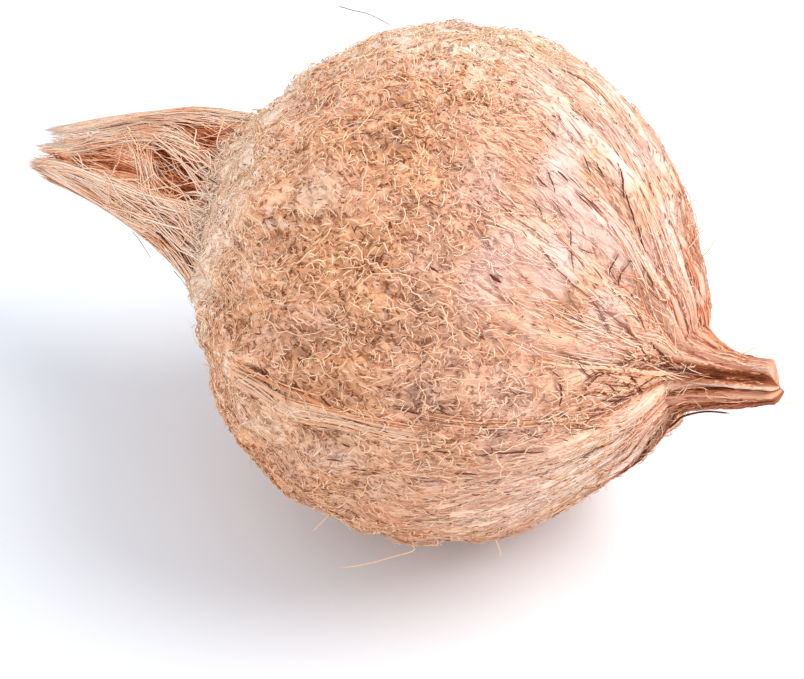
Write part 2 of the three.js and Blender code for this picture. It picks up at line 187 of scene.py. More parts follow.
# Hairs that stand clear of the husk: half width, knots (x, y, z).
FREE_HAIRS = [
    (0.31,
     [(61.7, -9, 48.2), (62.7, -7.3, 49.3), (63.8, -5.8, 50.4), (67.5, -2.8, 51.1),
     (72.2, -0.3, 50.8)]),
    (0.14, [(79, -2, 59.4), (83, -1, 58.9), (84.8, 0.2, 58.9), (86.4, 1.4, 59.3)]),
    (0.2, [(71.5, 1.4, 65.2), (72.5, 2.2, 65.8), (73.2, 3.0, 66.2), (74.3, 4.1, 66.7)]),
    (0.2, [(-3, -38, 18), (-4.6, -39.4, 16.4), (-5.8, -41.8, 14.6), (-7, -44, 12.8)]),
    (0.2,
     [(15, -37.5, 15), (16.3, -38.2, 13.8), (13, -41, 12.7), (8.8, -44.7, 11.5), (3.4, -48.8, 10.6)]),
    (0.22, [(27.5, -23.5, 13), (29, -23.6, 11.7), (30.6, -24.2, 9.6), (31.2, -25, 8.5)]),
    (0.2, [(44, 29.6, 77), (45.7, 31.3, 77.3), (46.4, 32.2, 77.8), (47.3, 32.1, 77.1)]),
    (0.18, [(51.5, 26.5, 67.5), (52.6, 28, 69.1), (52.9, 29.3, 70.3), (53.1, 30.2, 71.2)]),
    (0.09, [(-33.8, 12.4, 112.7), (-30.8, 13.5, 112), (-27.1, 15, 111.2), (-22, 16.5, 109)]),
    (0.09, [(-72.8, -18.7, 57), (-70.7, -19, 55.4), (-68.6, -19.4, 53.5), (-66.7, -19.8, 51.8)]),
    (0.09, [(-61.5, -18.6, 49.8), (-60.2, -18.6, 48.6), (-59.3, -18.7, 48.1), (-57.5, -19, 46.6)]),
]

# Bundles of the tuft: count, spread in mm at root and tip, half width, tone, and knots
# (share, angle, scale of the tuft's radius). The near side is read from the photo.
TUFT_BUNDLES = [
    # the bright band along the top, and its far side
    (130, 4, 0.9, (0.09, 0.4), (0.6, 1),
     [(-0.05, -34, 0.93), (0.15, -30, 0.96), (0.29, -25, 0.97), (0.38, -26, 1.01), (0.51, -25, 1.05),
     (0.63, -25, 1.04), (0.75, -23, 1.02), (0.84, -12, 1), (0.93, -2, 1), (1.03, 10, 1)]),
    (60, 4, 0.8, (0.09, 0.35), (0.5, 1),
     [(-0.05, -40, 0.93), (0.3, -36, 0.97), (0.51, -33, 1.02), (0.68, -30, 1.02), (0.82, -24, 1.01),
     (0.94, -18, 1), (1.01, -14, 1)]),
    (70, 5, 2, (0.1, 0.38), (0.3, 0.9),
     [(-0.05, -58, 0.95), (0.3, -52, 1), (0.64, -48, 1), (0.88, -40, 1), (1, -30, 0.9)]),
    # from the upper tips over the dark gaps to the root
    (100, 5, 0.9, (0.09, 0.28), (0.6, 1),
     [(-0.02, 34, 0.88), (0.25, 19, 0.96), (0.33, 13, 0.98), (0.48, 3, 1), (0.55, 1, 1.02),
     (0.64, 3, 1.03), (0.77, 12, 1.02), (0.88, 22, 1), (1.02, 50, 1)]),
    (40, 4, 0.7, (0.09, 0.25), (0.5, 0.9),
     [(0.45, 24, 0.95), (0.6, 22, 0.98), (0.77, 26, 1), (0.9, 38, 1), (1.03, 54, 1)]),
    (60, 2.4, 2.4, (0.09, 0.25), (0.6, 1),
     [(-0.02, 72, 1), (0.2, 65, 1.02), (0.29, 60, 1.02), (0.43, 55, 1.01), (0.53, 39, 1.01),
     (0.6, 12, 1.03), (0.72, -6, 1.04)]),
    # the lower edge and the face above it
    (150, 4, 1.1, (0.09, 0.35), (0.45, 1),
     [(-0.05, 96, 1), (0.11, 92, 1.02), (0.31, 86, 1.02), (0.51, 92, 1.03), (0.71, 104, 1.03),
     (0.92, 100, 1.01), (1.05, 92, 1)]),
    (110, 5, 1.1, (0.09, 0.3), (0.5, 1),
     [(-0.02, 70, 0.98), (0.23, 72, 1), (0.47, 71, 1), (0.69, 70, 1), (0.9, 72, 1), (1.05, 86, 1)]),
    (40, 3, 0.8, (0.09, 0.3), (0.5, 1),
     [(0.6, 6, 0.98), (0.75, 10, 0.98), (0.88, 16, 0.97), (1.0, 28, 0.97)]),
    (50, 4, 3, (0.09, 0.28), (0.4, 0.9),
     [(0.5, 56, 0.96), (0.7, 60, 0.97), (0.88, 64, 0.96), (1.01, 68, 0.97)]),
    (50, 5, 2, (0.09, 0.25), (0.25, 0.75),
     [(0.3, 44, 0.9), (0.5, 46, 0.93), (0.73, 46, 0.96), (0.88, 52, 0.96)]),
    # thin strands across the dark gaps
    (34, 7, 3, (0.08, 0.18), (0.5, 1),
     [(0.05, 46, 0.96), (0.26, 32, 0.95), (0.39, 20, 0.95), (0.5, 12, 0.97), (0.64, 6, 1)]),
    (12, 2.5, 2, (0.1, 0.22), (0.8, 1),
     [(0.14, 48, 1), (0.21, 44, 1.01), (0.31, 42, 1), (0.41, 43, 0.97)]),
    # the far and under sides, much like the near one
    (140, 6, 2, (0.12, 0.4), (0.3, 1),
     [(-0.05, 206, 1), (0.3, 206, 1.02), (0.65, 206, 1.02), (0.9, 212, 1), (1.02, 215, 1)]),
    *[(count, 7, 2.4, (0.12, 0.4), (0.3, 0.95), [(-0.05, a, 0.95), (0.3, b, 0.97), (0.6, c, 1), (end, d, 1)])
      for count, a, b, c, d, end in [
          (110, 240, 250, 262, 250, 1.0), (110, 170, 158, 146, 130, 1.02),
          (80, 122, 126, 128, 116, 1.02), (80, 285, 290, 300, 320, 1.0),
      ]],
    # russet strands low in the two gaps by the nut
    (50, 5, 4, (0.09, 0.25), (0, 0.45),
     [(0.05, 4, 0.96), (0.25, -2, 0.96), (0.45, -8, 0.97), (0.6, -12, 0.98)]),
    (50, 5, 4, (0.09, 0.25), (0, 0.4),
     [(0.05, 30, 0.96), (0.25, 26, 0.96), (0.45, 20, 0.97), (0.6, 16, 0.98)]),
]

# Russet gaps between the tuft's strands: share, angle, half length in mm, half width, strength.
TUFT_GAPS = [
    (0.38, -8, 5, 2.4, 0.75), (0.31, 0, 3.5, 1.8, 0.8), (0.26, 10, 3, 1.6, 1), (0.49, 13, 5, 2.2, 1),
    (0.4, 18, 5, 2.4, 1), (0.31, 23, 5, 2.2, 1), (0.38, 31, 8, 3, 0.7), (0.58, 14, 3, 1.8, 0.8),
    (0.43, 48, 3.8, 2.2, 1), (0.33, 46, 4, 2.2, 1), (0.76, 33, 7, 3.4, 0.75), (0.83, 55, 4, 1.8, 0.9),
    (0.95, 60, 3, 1.4, 1), (0.36, 79, 2.8, 2.4, 1), (0.32, 80, 2.8, 2.4, 1), (0.27, 82, 2.8, 2.2, 0.9),
    (0.19, 86, 5, 2.4, 0.5), (0.83, 20, 4, 1.4, 0.7), (0.75, 14, 3, 1.2, 0.8), (0.6, 45, 8, 3, 0.5),
    (0.41, 68, 2.2, 1.4, 0.7), (0.49, 69, 2.4, 1.4, 0.7), (0.3, 125, 6, 3, 0.8), (0.45, 150, 8, 4, 0.8),
    (0.65, 172, 6, 3, 0.6), (0.23, 84, 4, 2.6, 1), (0.1, 84, 2.4, 1.6, 1), (0.35, 235, 8, 4, 0.8),
    (0.5, 270, 8, 4, 0.8), (0.3, 300, 7, 4, 0.8), (0.66, 292, 6, 3, 0.6),
]

# How far the felt climbs from the nut over the tuft's root: angle, share of the tuft's length.
COLLAR = [
    (-60, 0.2), (-28, 0.25), (-10, 0.26), (10, 0.24), (35, 0.24), (50, 0.21), (63, 0.17), (75, 0.13),
    (90, 0.09), (120, 0.12), (150, 0.19), (206, 0.2), (250, 0.2), (290, 0.21),
]

# Ridges and clefts round the beak: angle where x is BEAK_MARK, height in mm, tone.
BEAK_GRAIN = [
    (-70, 0.1, 0.5), (-45, 0.15, 0.5), (-30, 0.05, 0.4), (-20, 0.2, 0.62), (-6, 0.1, 0.46),
    (6, 0.25, 0.68), (20, 0.3, 0.62), (32, 0.25, 0.7), (40, 0.0, 0.22), (46, -0.35, 0.08),
    (54, -0.5, 0.16), (62, -0.35, 0.12), (70, -0.05, 0.4), (78, 0.2, 0.85), (83, 0.05, 0.5),
    (87, -0.35, 0.02), (92, 0.0, 0.42), (100, 0.2, 0.6), (110, 0.15, 0.5), (120, 0.0, 0.34),
    (132, -0.2, 0.15), (145, 0.1, 0.4), (165, -0.15, 0.25), (180, 0.15, 0.45), (200, -0.15, 0.25),
    (220, 0.2, 0.55), (240, -0.15, 0.3), (262, 0.15, 0.5),
]
BEAK_STARTS = (54.0, 62.0)
BEAK_MARK = 66.0
BEAK_TWIST = -1.0  # degrees for each mm along the beak
BEAK_SLANT = 1.5  # how far in mm its broken end leans over its middle, to each side

# Where the husk stands off its plain outline: x, angle, reach in mm and in degrees, height.
SWELLS = [
    (58, 140, 4, 50, 2.2), (65, 140, 5, 55, 1.5), (72, 140, 5, 60, 0.9), (80.5, 140, 4, 60, -1.4),
    (59, -45, 4, 50, 2.6), (65, -40, 4, 50, 0.8), (30, -40, 12, 22, -1.0), (43, -40, 8, 22, -1.0),
    (52.5, -42, 5, 25, -1.4), (46, 147, 8, 25, -1.7), (-32, 82, 10, 22, -1.4), (-40, -2, 8, 25, 1.2),
]

# How far in mm the laid fibres and the loose ones keep off the floor.
CLEARANCE = 0.35
LOOSE_CLEARANCE = 0.4

SEED = 7
rng = np.random.default_rng(SEED)


def smoothstep(x, low, high):
    t = np.clip((x - low) / (high - low), 0, 1)
    return t * t * (3 - 2 * t)


def lerp(a, b, t):
    return a + (b - a) * t


def smooth_max(a, b, k):
    h = np.clip(0.5 + 0.5 * (a - b) / k, 0, 1)
    return lerp(b, a, h) + k * h * (1 - h)


def angle_gap(a, b):
    """The signed angle from b to a, between minus and plus half a turn."""
    return (a - b + math.pi) % TURN - math.pi


def column(numbers):
    return np.asarray(numbers, float)[:, None]


def field(points, pitch, seed):
    """Smooth random values from about -1 to 1, with lumps about as wide as pitch."""
    draw = np.random.default_rng(seed)
    total = np.zeros(points.shape[:-1])
    count = 9
    for _ in range(count):
        way = draw.normal(size=3)
        way *= TURN / (pitch * draw.uniform(1.3, 3.0)) / np.linalg.norm(way)
        total += np.cos(points @ way + draw.uniform(0, TURN))
    return total * math.sqrt(2 / count) * 0.6


def through(knots, steps):
    """Even steps along a smooth curve through the knots."""
    knots = np.asarray(knots, float)
    ends = np.concatenate([[2 * knots[0] - knots[1]], knots, [2 * knots[-1] - knots[-2]]])
    place = np.linspace(0, len(knots) - 1, steps)
    k = np.minimum(place.astype(int), len(knots) - 2)
    t = column(place - k)
    a, b, c, d = (ends[k + i] for i in range(4))
    return b + 0.5 * t * (c - a + t * (2 * a - 5 * b + 4 * c - d + t * (3 * b - a - 3 * c + d)))


def profile(x):
    """The radius of the nut and its beak at x, before any relief."""
    half = np.where(x < 0, TUFT_END_HALF, BEAK_END_HALF)
    fullness = np.where(x < 0, TUFT_END_FULLNESS, 2)
    nut = BODY_RADIUS * np.clip(1 - np.abs(x / half) ** fullness, 0, None) ** (1 / fullness)
    to_root = np.clip((BEAK_END - x) / (BEAK_END - BEAK_ROOT), 0, 1)
    beak = BEAK_END_RADIUS + BEAK_FLARE * to_root ** BEAK_FLARE_POWER
    return np.where(x < BEAK_ROOT - BEAK_BLEND, nut, smooth_max(nut, beak, BEAK_BLEND))


def waves(table, x, angle):
    total = 0
    for height, crests, pitch, bends, bend, phase in table:
        turned = crests * angle + x / pitch + bend * np.sin(bends * angle) + phase
        total = total + height * np.cos(turned)
    return total


def relief(x, angle):
    """The husk's broad relief: sutures, streaks of matting, and bands drawn to the beak."""
    to_beak = smoothstep(x, *BANDED)
    bands = waves(BEAK_BANDS, x, angle)
    streaks = waves(MAT_STREAKS, x, angle)
    off_poles = smoothstep(profile(x), *POLE_FADE)
    from_rest = np.hypot(x, BODY_RADIUS * angle_gap(angle, math.pi))
    off_rest = smoothstep(from_rest, *REST_FADE)
    sutures = SHOULDER_HEIGHT * np.cos(3 * (angle - SUTURES[0][0]))
    for at, height in SUTURES:
        sutures = sutures + height * np.exp(-((angle_gap(angle, at) / SUTURE_WIDTH) ** 2))
    on_nut = off_poles * off_rest * (sutures + lerp(streaks, bands, to_beak))
    return on_nut + 0.5 * (1 - off_poles) * to_beak * bands


def swell(x, angle):
    """How far the husk stands off its plain outline."""
    total = 0.0
    for at_x, at_angle, reach, spread, height in SWELLS:
        beside = angle_gap(angle, math.radians(at_angle)) / math.radians(spread)
        total = total + height * np.exp(-(((x - at_x) / reach) ** 2) - beside**2)
    return total


def outline_table(step=0.25):
    """The nut's outline from the tuft's pole to the beak's end, at even steps along it."""
    start = np.linspace(0, math.pi / 2, 1200)
    x = np.concatenate([-TUFT_END_HALF * np.cos(start), np.linspace(0, BEAK_END, 4000)[1:]])
    r = profile(x)
    along = np.concatenate([[0], np.cumsum(np.hypot(np.diff(x), np.diff(r)))])
    even = np.arange(0, along[-1], step)
    x = np.interp(even, along, x)
    r = np.interp(even, along, r)
    slope_x = np.gradient(x)
    slope_r = np.gradient(r)
    length = np.hypot(slope_x, slope_r)
    return even, x, r, -slope_r / length, slope_x / length


ALONG, OUT_X, OUT_R, NORMAL_X, NORMAL_R = outline_table()
LENGTH = ALONG[-1]


def along_at(x):
    """The distance along the outline at which it reaches x, running on past the beak's end."""
    return np.interp(x, OUT_X, ALONG) + np.clip(np.asarray(x) - BEAK_END, 0, None)


def x_at(along):
    return np.interp(along, ALONG, OUT_X)


def radius_at(along):
    return np.interp(along, ALONG, OUT_R)


def turning_radius(along):
    """The radius of the husk, kept from so little that a fibre there would spin round."""
    return np.maximum(radius_at(along), 4)


def husk_normal(along, angle):
    out_x = np.interp(along, ALONG, NORMAL_X)
    out_r = np.interp(along, ALONG, NORMAL_R)
    return np.stack([out_x, -out_r * np.sin(angle), out_r * np.cos(angle)], -1)


def husk_point(along, angle, height=0.0, low=0.0):
    """A point on the husk, lifted by height, with none of it under the resting surface."""
    x = x_at(along)
    r = radius_at(along)
    share = np.clip((x - BEAK_BEND_FROM) / (BEAK_END - BEAK_BEND_FROM), 0, 1) ** BEAK_BEND_POWER
    past = np.clip(along - LENGTH, 0, None)
    out = (relief(x, angle) + swell(x, angle) + height)[..., None] * husk_normal(along, angle)
    on_axis = np.stack([x + past, BEAK_SWAY * share, CENTRE_HEIGHT + BEAK_LIFT * share], -1)
    ring = np.stack([np.zeros_like(r * angle), -r * np.sin(angle), r * np.cos(angle)], -1)
    point = on_axis + ring + out
    point[..., 2] = np.maximum(point[..., 2], low)
    return point


# ---- Meshes -----------------------------------------------------------------------------

def make_mesh(name, points, quads, tris, uvs, values):
    """A mesh object from arrays. values are named numbers, or places, for each point."""
    mesh = bpy.data.meshes.new(name)
    corners = np.concatenate([np.ravel(quads), np.ravel(tris)]).astype(np.int32)
    starts = np.concatenate([4 * np.arange(len(quads)), 4 * len(quads) + 3 * np.arange(len(tris))])
    mesh.vertices.add(len(points))
    mesh.vertices.foreach_set("co", (points * MM).astype(np.float32).ravel())
    mesh.loops.add(len(corners))
    mesh.loops.foreach_set("vertex_index", corners)
    mesh.polygons.add(len(starts))
    mesh.polygons.foreach_set("loop_start", starts.astype(np.int32))
    layer = mesh.uv_layers.new(name="OFBake")
    layer.uv.foreach_set("vector", uvs.astype(np.float32).ravel())
    for key, numbers in values.items():
        kind, slot = ("FLOAT", "value") if numbers.ndim == 1 else ("FLOAT_VECTOR", "vector")
        attribute = mesh.attributes.new(key, kind, "POINT")
        attribute.data.foreach_set(slot, numbers.astype(np.float32).ravel())
    mesh.update(calc_edges=True)
    mesh.polygons.foreach_set("use_smooth", np.ones(len(starts), dtype=bool))
    piece = bpy.data.objects.new(name, mesh)
    bpy.context.scene.collection.objects.link(piece)
    return piece


def ring_faces(rings, sides, start, first_tip, last_tip):
    """The quads between rings of points numbered from start, and the fans on their two ends."""
    j = np.arange(sides)
    following = (j + 1) % sides
    k = start + sides * np.arange(rings - 1)[:, None]
    quads = np.stack([k + j, k + following, k + following + sides, k + j + sides], -1)
    last_ring = start + (rings - 1) * sides
    first = np.stack([np.full(sides, first_tip), start + following, start + j], -1)
    last = np.stack([np.full(sides, last_tip), last_ring + j, last_ring + following], -1)
    return quads, np.concatenate([first, last])


def make_tubes(name, material, paths, normals, half, values, flat=1.0, most=math.inf, sides=3):
    """
    Fibres as closed tubes that taper to a point at each end, dressed in a material. paths and
    normals are fibres by points by 3. A tube's half width is half, and it is flat times as thick,
    up to most. values are for each fibre or for each of its points.
    """
    count, steps = paths.shape[:2]
    width = (half + np.zeros((count, steps)))[:, 1:-1, None]
    thickness = np.minimum(flat * width, most)
    tangent = np.gradient(paths, axis=1)
    side = np.cross(tangent, normals)
    side /= np.linalg.norm(side, axis=-1, keepdims=True) + 1e-9
    up = np.cross(side, tangent)
    up /= np.linalg.norm(up, axis=-1, keepdims=True) + 1e-9
    turn = TURN * (np.arange(sides) + 0.25 * (sides == 3) + 0.5 * (sides == 4)) / sides
    rings = (
        paths[:, 1:-1, None]
        + (width * np.cos(turn))[..., None] * side[:, 1:-1, None]
        + (thickness * np.sin(turn))[..., None] * up[:, 1:-1, None]
    )
    inner = steps - 2
    each = inner * sides + 2
    points = np.concatenate([paths[:, :1], rings.reshape(count, -1, 3), paths[:, -1:]], axis=1)
    quads, tris = ring_faces(inner, sides, 1, 0, each - 1)
    offset = each * np.arange(count)[:, None, None]
    quads = quads.reshape(1, -1, 4) + offset
    tris = tris[None] + offset
    spread = {}
    for key, numbers in values.items():
        rows = numbers if numbers.ndim == 2 else np.repeat(column(numbers), steps, axis=1)
        rows = np.concatenate([rows[:, :1], np.repeat(rows[:, 1:-1], sides, axis=1), rows[:, -1:]], axis=1)
        spread[key] = rows.ravel()
    uvs = tube_uvs(count, steps, sides)
    quads, tris = quads.reshape(-1, 4), tris.reshape(-1, 3)
    dress(make_mesh(name, points.reshape(-1, 3), quads, tris, uvs, spread), material)


def tube_uvs(count, steps, sides):
    """Each tube unrolled in its own cell of a square grid: first its quads, then its tips."""
    j = np.arange(sides)
    low, high = j / sides, (j + 1) / sides
    across = (low + high) / 2
    v = np.linspace(0, 1, steps)
    quads = [
        [(low[m], v[n]), (high[m], v[n]), (high[m], v[n + 1]), (low[m], v[n + 1])]
        for n in range(1, steps - 2)
        for m in range(sides)
    ]
    first = [[(across[m], 0), (high[m], v[1]), (low[m], v[1])] for m in range(sides)]
    last = [[(across[m], 1), (low[m], v[-2]), (high[m], v[-2])] for m in range(sides)]
    grid = math.ceil(math.sqrt(count))
    margin = 0.1
    cell = np.stack([np.arange(count) % grid, np.arange(count) // grid], -1)[:, None]
    parts = [np.array(part).reshape(-1, 2) for part in (quads, first + last)]
    placed = [(cell + margin + (1 - 2 * margin) * part) / grid for part in parts]
    return np.concatenate([part.reshape(-1, 2) for part in placed])


def with_ends(numbers):
    """Numbers for each point of a sheet's rings, and after them the means of its end rings."""
    ends = np.stack([numbers[0].mean(0), numbers[-1].mean(0)])
    return np.concatenate([numbers.reshape(-1, *numbers.shape[2:]), ends])


def make_sheet(name, material, points, values):
    """A closed mesh from rings of points, with a flat fan on each end, dressed in a material."""
    rings, sides = points.shape[:2]
    centre = rings * sides
    quads, fans = ring_faces(rings, sides, 0, centre, centre + 1)
    edge = np.linspace(0, 1, sides + 1)
    grid = np.stack(np.meshgrid(edge, np.linspace(0.02, 0.98, rings)), -1)
    quad_uv = np.stack([grid[:-1, :-1], grid[:-1, 1:], grid[1:, 1:], grid[1:, :-1]], axis=2)
    left, right = edge[:-1], edge[1:]
    middle = (left + right) / 2
    fan_uvs = []
    for tip, rim, near, far in ((0.0, 0.02, right, left), (1.0, 0.98, left, right)):
        corners = [(middle, tip), (near, rim), (far, rim)]
        fan_uvs.append(np.stack([np.stack([a, np.full(sides, b)], -1) for a, b in corners], axis=1))
    uvs = np.concatenate([part.reshape(-1, 2) for part in (quad_uv, *fan_uvs)])
    spread = {key: with_ends(numbers) for key, numbers in values.items()}
    dress(make_mesh(name, with_ends(points), quads.reshape(-1, 4), fans, uvs, spread), material)


# ---- Materials --------------------------------------------------------------------------

def srgb(r, g, b):
    """A colour given as 0 to 255 on screen, as Blender's linear colour."""
    linear = [((c / 255 + 0.055) / 1.055) ** 2.4 if c > 10 else c / 255 / 12.92 for c in (r, g, b)]
    return (*linear, 1.0)


class Nodes:
    """Short names for adding and joining a material's nodes."""

    def __init__(self, name):
        self.material = bpy.data.materials.new(name)
        self.material.use_nodes = True
        self.tree = self.material.node_tree
        self.shader = self.tree.nodes["Principled BSDF"]

    def add(self, kind, **settings):
        node = self.tree.nodes.new(kind)
        for key, value in settings.items():
            setattr(node, key, value)
        return node

    def join(self, source, target):
        self.tree.links.new(source, target)

    def feed(self, value, socket):
        """Gives a socket a number or a colour, or joins another node's output to it."""
        if isinstance(value, (int, float, tuple)):
            socket.default_value = value
        else:
            self.join(value, socket)

    def set(self, key, value):
        self.feed(value, self.shader.inputs[key])

    def number(self, key):
        return self.add("ShaderNodeAttribute", attribute_name=key).outputs["Fac"]

    def noise(self, scale, detail, place=None, stretch=None):
        """Noise of a given scale, in the object's own place in metres or in another given."""
        place = place or self.add("ShaderNodeTexCoord").outputs["Object"]
        if stretch:
            mapping = self.add("ShaderNodeMapping")
            mapping.inputs["Scale"].default_value = stretch
            self.join(place, mapping.inputs["Vector"])
            place = mapping.outputs["Vector"]
        texture = self.add("ShaderNodeTexNoise")
        texture.inputs["Scale"].default_value = scale
        texture.inputs["Detail"].default_value = detail
        self.join(place, texture.inputs["Vector"])
        return texture.outputs["Fac"]

    def combed(self, scale, squeeze, detail):
        """Noise drawn out along the husk towards the beak, of a given scale per millimetre."""
        place = self.add("ShaderNodeAttribute", attribute_name="combed").outputs["Vector"]
        return self.noise(scale, detail, place, (squeeze, 1, 1))

    def maths(self, operation, a, b, clamp=False):
        node = self.add("ShaderNodeMath", operation=operation, use_clamp=clamp)
        self.feed(a, node.inputs[0])
        self.feed(b, node.inputs[1])
        return node.outputs["Value"]

    def ramp(self, factor, stops):
        node = self.add("ShaderNodeValToRGB")
        elements = node.color_ramp.elements
        while len(elements) < len(stops):
            elements.new(0.5)
        for element, (place, colour) in zip(elements, stops):
            element.position = place
            element.color = colour
        self.join(factor, node.inputs["Fac"])
        return node.outputs["Color"]

    def mix(self, factor, a, b):
        node = self.add("ShaderNodeMix", data_type="RGBA")
        self.feed(factor, node.inputs[0])
        self.feed(a, node.inputs[6])
        self.feed(b, node.inputs[7])
        return node.outputs[2]

    def bump(self, height, strength, distance):
        node = self.add("ShaderNodeBump")
        node.inputs["Strength"].default_value = strength
        node.inputs["Distance"].default_value = distance
        self.join(height, node.inputs["Height"])
        self.set("Normal", node.outputs["Normal"])


DARK = srgb(104, 52, 28)
UMBER = srgb(134, 72, 42)
BROWN = srgb(162, 94, 50)
CHESTNUT = srgb(162, 84, 50)
RUSSET = srgb(192, 100, 58)
ORANGE = srgb(230, 140, 86)
CLAY = srgb(214, 138, 100)
TAN = srgb(220, 148, 100)
SAND = srgb(214, 158, 116)
SALMON = srgb(250, 188, 154)
PEACH = srgb(249, 190, 146)
APRICOT = srgb(255, 214, 172)
BEIGE = srgb(244, 222, 198)
PINK = srgb(248, 212, 200)
CREAM = srgb(255, 228, 204)
ASH = srgb(156, 134, 116)
SHRIMP = srgb(255, 194, 150)
WHITE = (1.0, 1.0, 1.0, 1.0)
BLACK = (0.0, 0.0, 0.0, 1.0)


def fibre_material(name, stops, speckle=0.5):
    """Husk fibre: each fibre has its own tone, pinkish or dusty by where it grows."""
    n = Nodes(name)
    mottle = n.noise(1100, detail=2)
    tone = n.maths("ADD", n.number("tone"), n.maths("MULTIPLY", n.maths("SUBTRACT", mottle, 0.5), speckle))
    colour = n.ramp(tone, stops)
    colour = n.mix(n.number("pale"), colour, PINK)
    colour = n.mix(n.number("dust"), colour, BEIGE)
    n.set("Base Color", colour)
    rough = n.maths("ADD", n.maths("MULTIPLY", mottle, 0.2), 0.7)
    n.set("Roughness", rough)
    n.set("Specular IOR Level", 0.2)
    n.bump(n.noise(4000, detail=2), 0.3, 0.0001)
    return n.material


BEAK_TONES = [(0.0, DARK), (0.18, CHESTNUT), (0.4, CLAY), (0.6, SALMON), (0.95, CREAM)]


def skin_material():
    """The packed fibre under the loose mat: grainy felt, streaked where combed to the beak."""
    n = Nodes("skin")
    drawn = n.number("drawn")
    grain = n.combed(0.95, 0.5, detail=4)
    streaks = n.mix(0.5, n.combed(0.75, 0.09, detail=3), n.combed(2.2, 0.05, detail=3))
    broad = n.noise(70, detail=2)
    fine = n.mix(drawn, grain, streaks)
    tone = n.maths("ADD", n.maths("MULTIPLY", fine, 1.3), n.maths("MULTIPLY", broad, 0.3))
    # Painted light: the skin's tone is raised where it stands in for light.
    tone = n.maths("ADD", n.maths("SUBTRACT", tone, 0.3), n.number("bleach_and_painted_light"))
    felt = n.ramp(tone, [(0.12, BROWN), (0.32, SAND), (0.6, PEACH), (0.9, CREAM)])
    colour = n.mix(n.number("pale"), felt, PINK)
    colour = n.mix(n.number("dust"), colour, BEIGE)
    # Painted shade: brown dashes for the slits between the combed strands, fewer where painted light is.
    dashes = n.ramp(n.combed(0.42, 0.16, detail=2), [(0.3, WHITE), (0.37, BLACK)])
    slit_shade_strength = n.maths("MULTIPLY", n.maths("SUBTRACT", 1.0, n.number("bleach_and_painted_light"), clamp=True), 0.6)
    colour = n.mix(n.maths("MULTIPLY", dashes, slit_shade_strength), colour, BROWN)
    # Painted shade: umber specks for the holes in the matted fibre, fewer where it is combed or felted.
    painted_pit_shade = n.ramp(n.combed(1.1, 0.7, detail=2), [(0.36, WHITE), (0.44, BLACK)])
    smooth = n.maths("MAXIMUM", drawn, n.number("dust"))
    matted = n.maths("SUBTRACT", 0.75, n.maths("MULTIPLY", smooth, 0.75))
    colour = n.mix(n.maths("MULTIPLY", painted_pit_shade, matted), colour, UMBER)
    lines = n.maths("MULTIPLY", n.maths("SUBTRACT", streaks, 0.5), 1.4)
    lined = n.maths("ADD", n.number("beak_tone"), lines)
    strips = n.ramp(lined, BEAK_TONES)
    colour = n.mix(n.number("beak"), colour, strips)
    # Painted shade: DARK in the hollows of the relief and in the cracks, which also show their own darker
    # fibre.
    colour = n.mix(n.number("crack"), colour, DARK)
    n.set("Base Color", colour)
    n.set("Roughness", n.maths("ADD", n.maths("MULTIPLY", fine, 0.15), 0.8))
    n.set("Specular IOR Level", 0.15)
    n.bump(fine, 0.7, 0.0007)
    return n.material


MAT = fibre_material("mat", [(0.0, BROWN), (0.25, TAN), (0.65, PEACH), (1.0, APRICOT)], 0.9)
# Darker than the mat over it, for the fibres that lie under it: painted shade.
UNDER = fibre_material("under", [(0.0, UMBER), (0.3, SAND), (0.7, PEACH), (1.0, BEIGE)], 0.9)
BAST = fibre_material("bast", [(0.0, ORANGE), (0.3, TAN), (0.6, PEACH), (1.0, CREAM)])
HAIR = fibre_material("hair", [(0.0, DARK), (0.12, PEACH), (0.6, APRICOT), (1.0, CREAM)], 0.2)
TUFTED = fibre_material("tufted", [(0.0, UMBER), (0.2, RUSSET), (0.34, ORANGE), (0.53, SHRIMP), (1.0, CREAM)])
BEAKED = fibre_material("beaked", BEAK_TONES, 1.0)
# Dark fibre for the dashes, which are painted shade, and for the crack bottoms, which are partly painted
# shade.
SLIVER = fibre_material("sliver", [(0.0, DARK), (0.4, UMBER), (0.7, BROWN), (1.0, ASH)])


def dress(piece, material):
    """Gives a piece its material, and ties it to the coconut in the frame."""
    piece.data.materials.append(material)
    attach(piece, "root")
    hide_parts("coconut")


def plain(tone, dust=0.0):
    """The numbers that colour fibres of a given tone, with no pinkish white."""
    return {"tone": tone, "pale": 0 * tone, "dust": dust + 0 * tone}


# ---- Where the husk is combed, pinkish, dusty or cracked ----------------------------------

def around(table, degrees):
    """A table's other columns, read at an angle round the long axis, which is its first."""
    angles, *columns = np.array(table, float).T
    return [np.interp(degrees, angles, numbers, period=360) for numbers in columns]


def drawn_share(x, angle):
    """How far the husk is combed into streaks towards the beak, from 0 to 1."""
    start = around(COMBED_FROM, np.degrees(angle))[0]
    start = start + 3 * np.sin(5 * angle) + 2 * np.sin(11 * angle + 1)
    return smoothstep(x, start, start + COMBED_OVER)


def spot(x, angle, at_x, at_angle, radius, strength):
    """How much a soft round spot of a radius in mm counts at a place on the husk."""
    round_it = profile(x) * angle_gap(angle, math.radians(at_angle))
    away = np.hypot(along_at(x) - along_at(at_x), round_it)
    return strength * np.exp(-((away / radius) ** 2))


PALE_BEGINS = (8.0, 34.0)  # x
PALE_ENDS = (66.0, 54.0)
PALE_FRONT = math.radians(4)  # the angle of its middle
PALE_UNDER = math.radians(112)  # and of the fainter area under the near suture
PALE_UNDER_BEGINS = (34.0, 46.0)
FELT_BEGINS = (-28.0, -38.0)  # x where the felt round the tuft's root begins


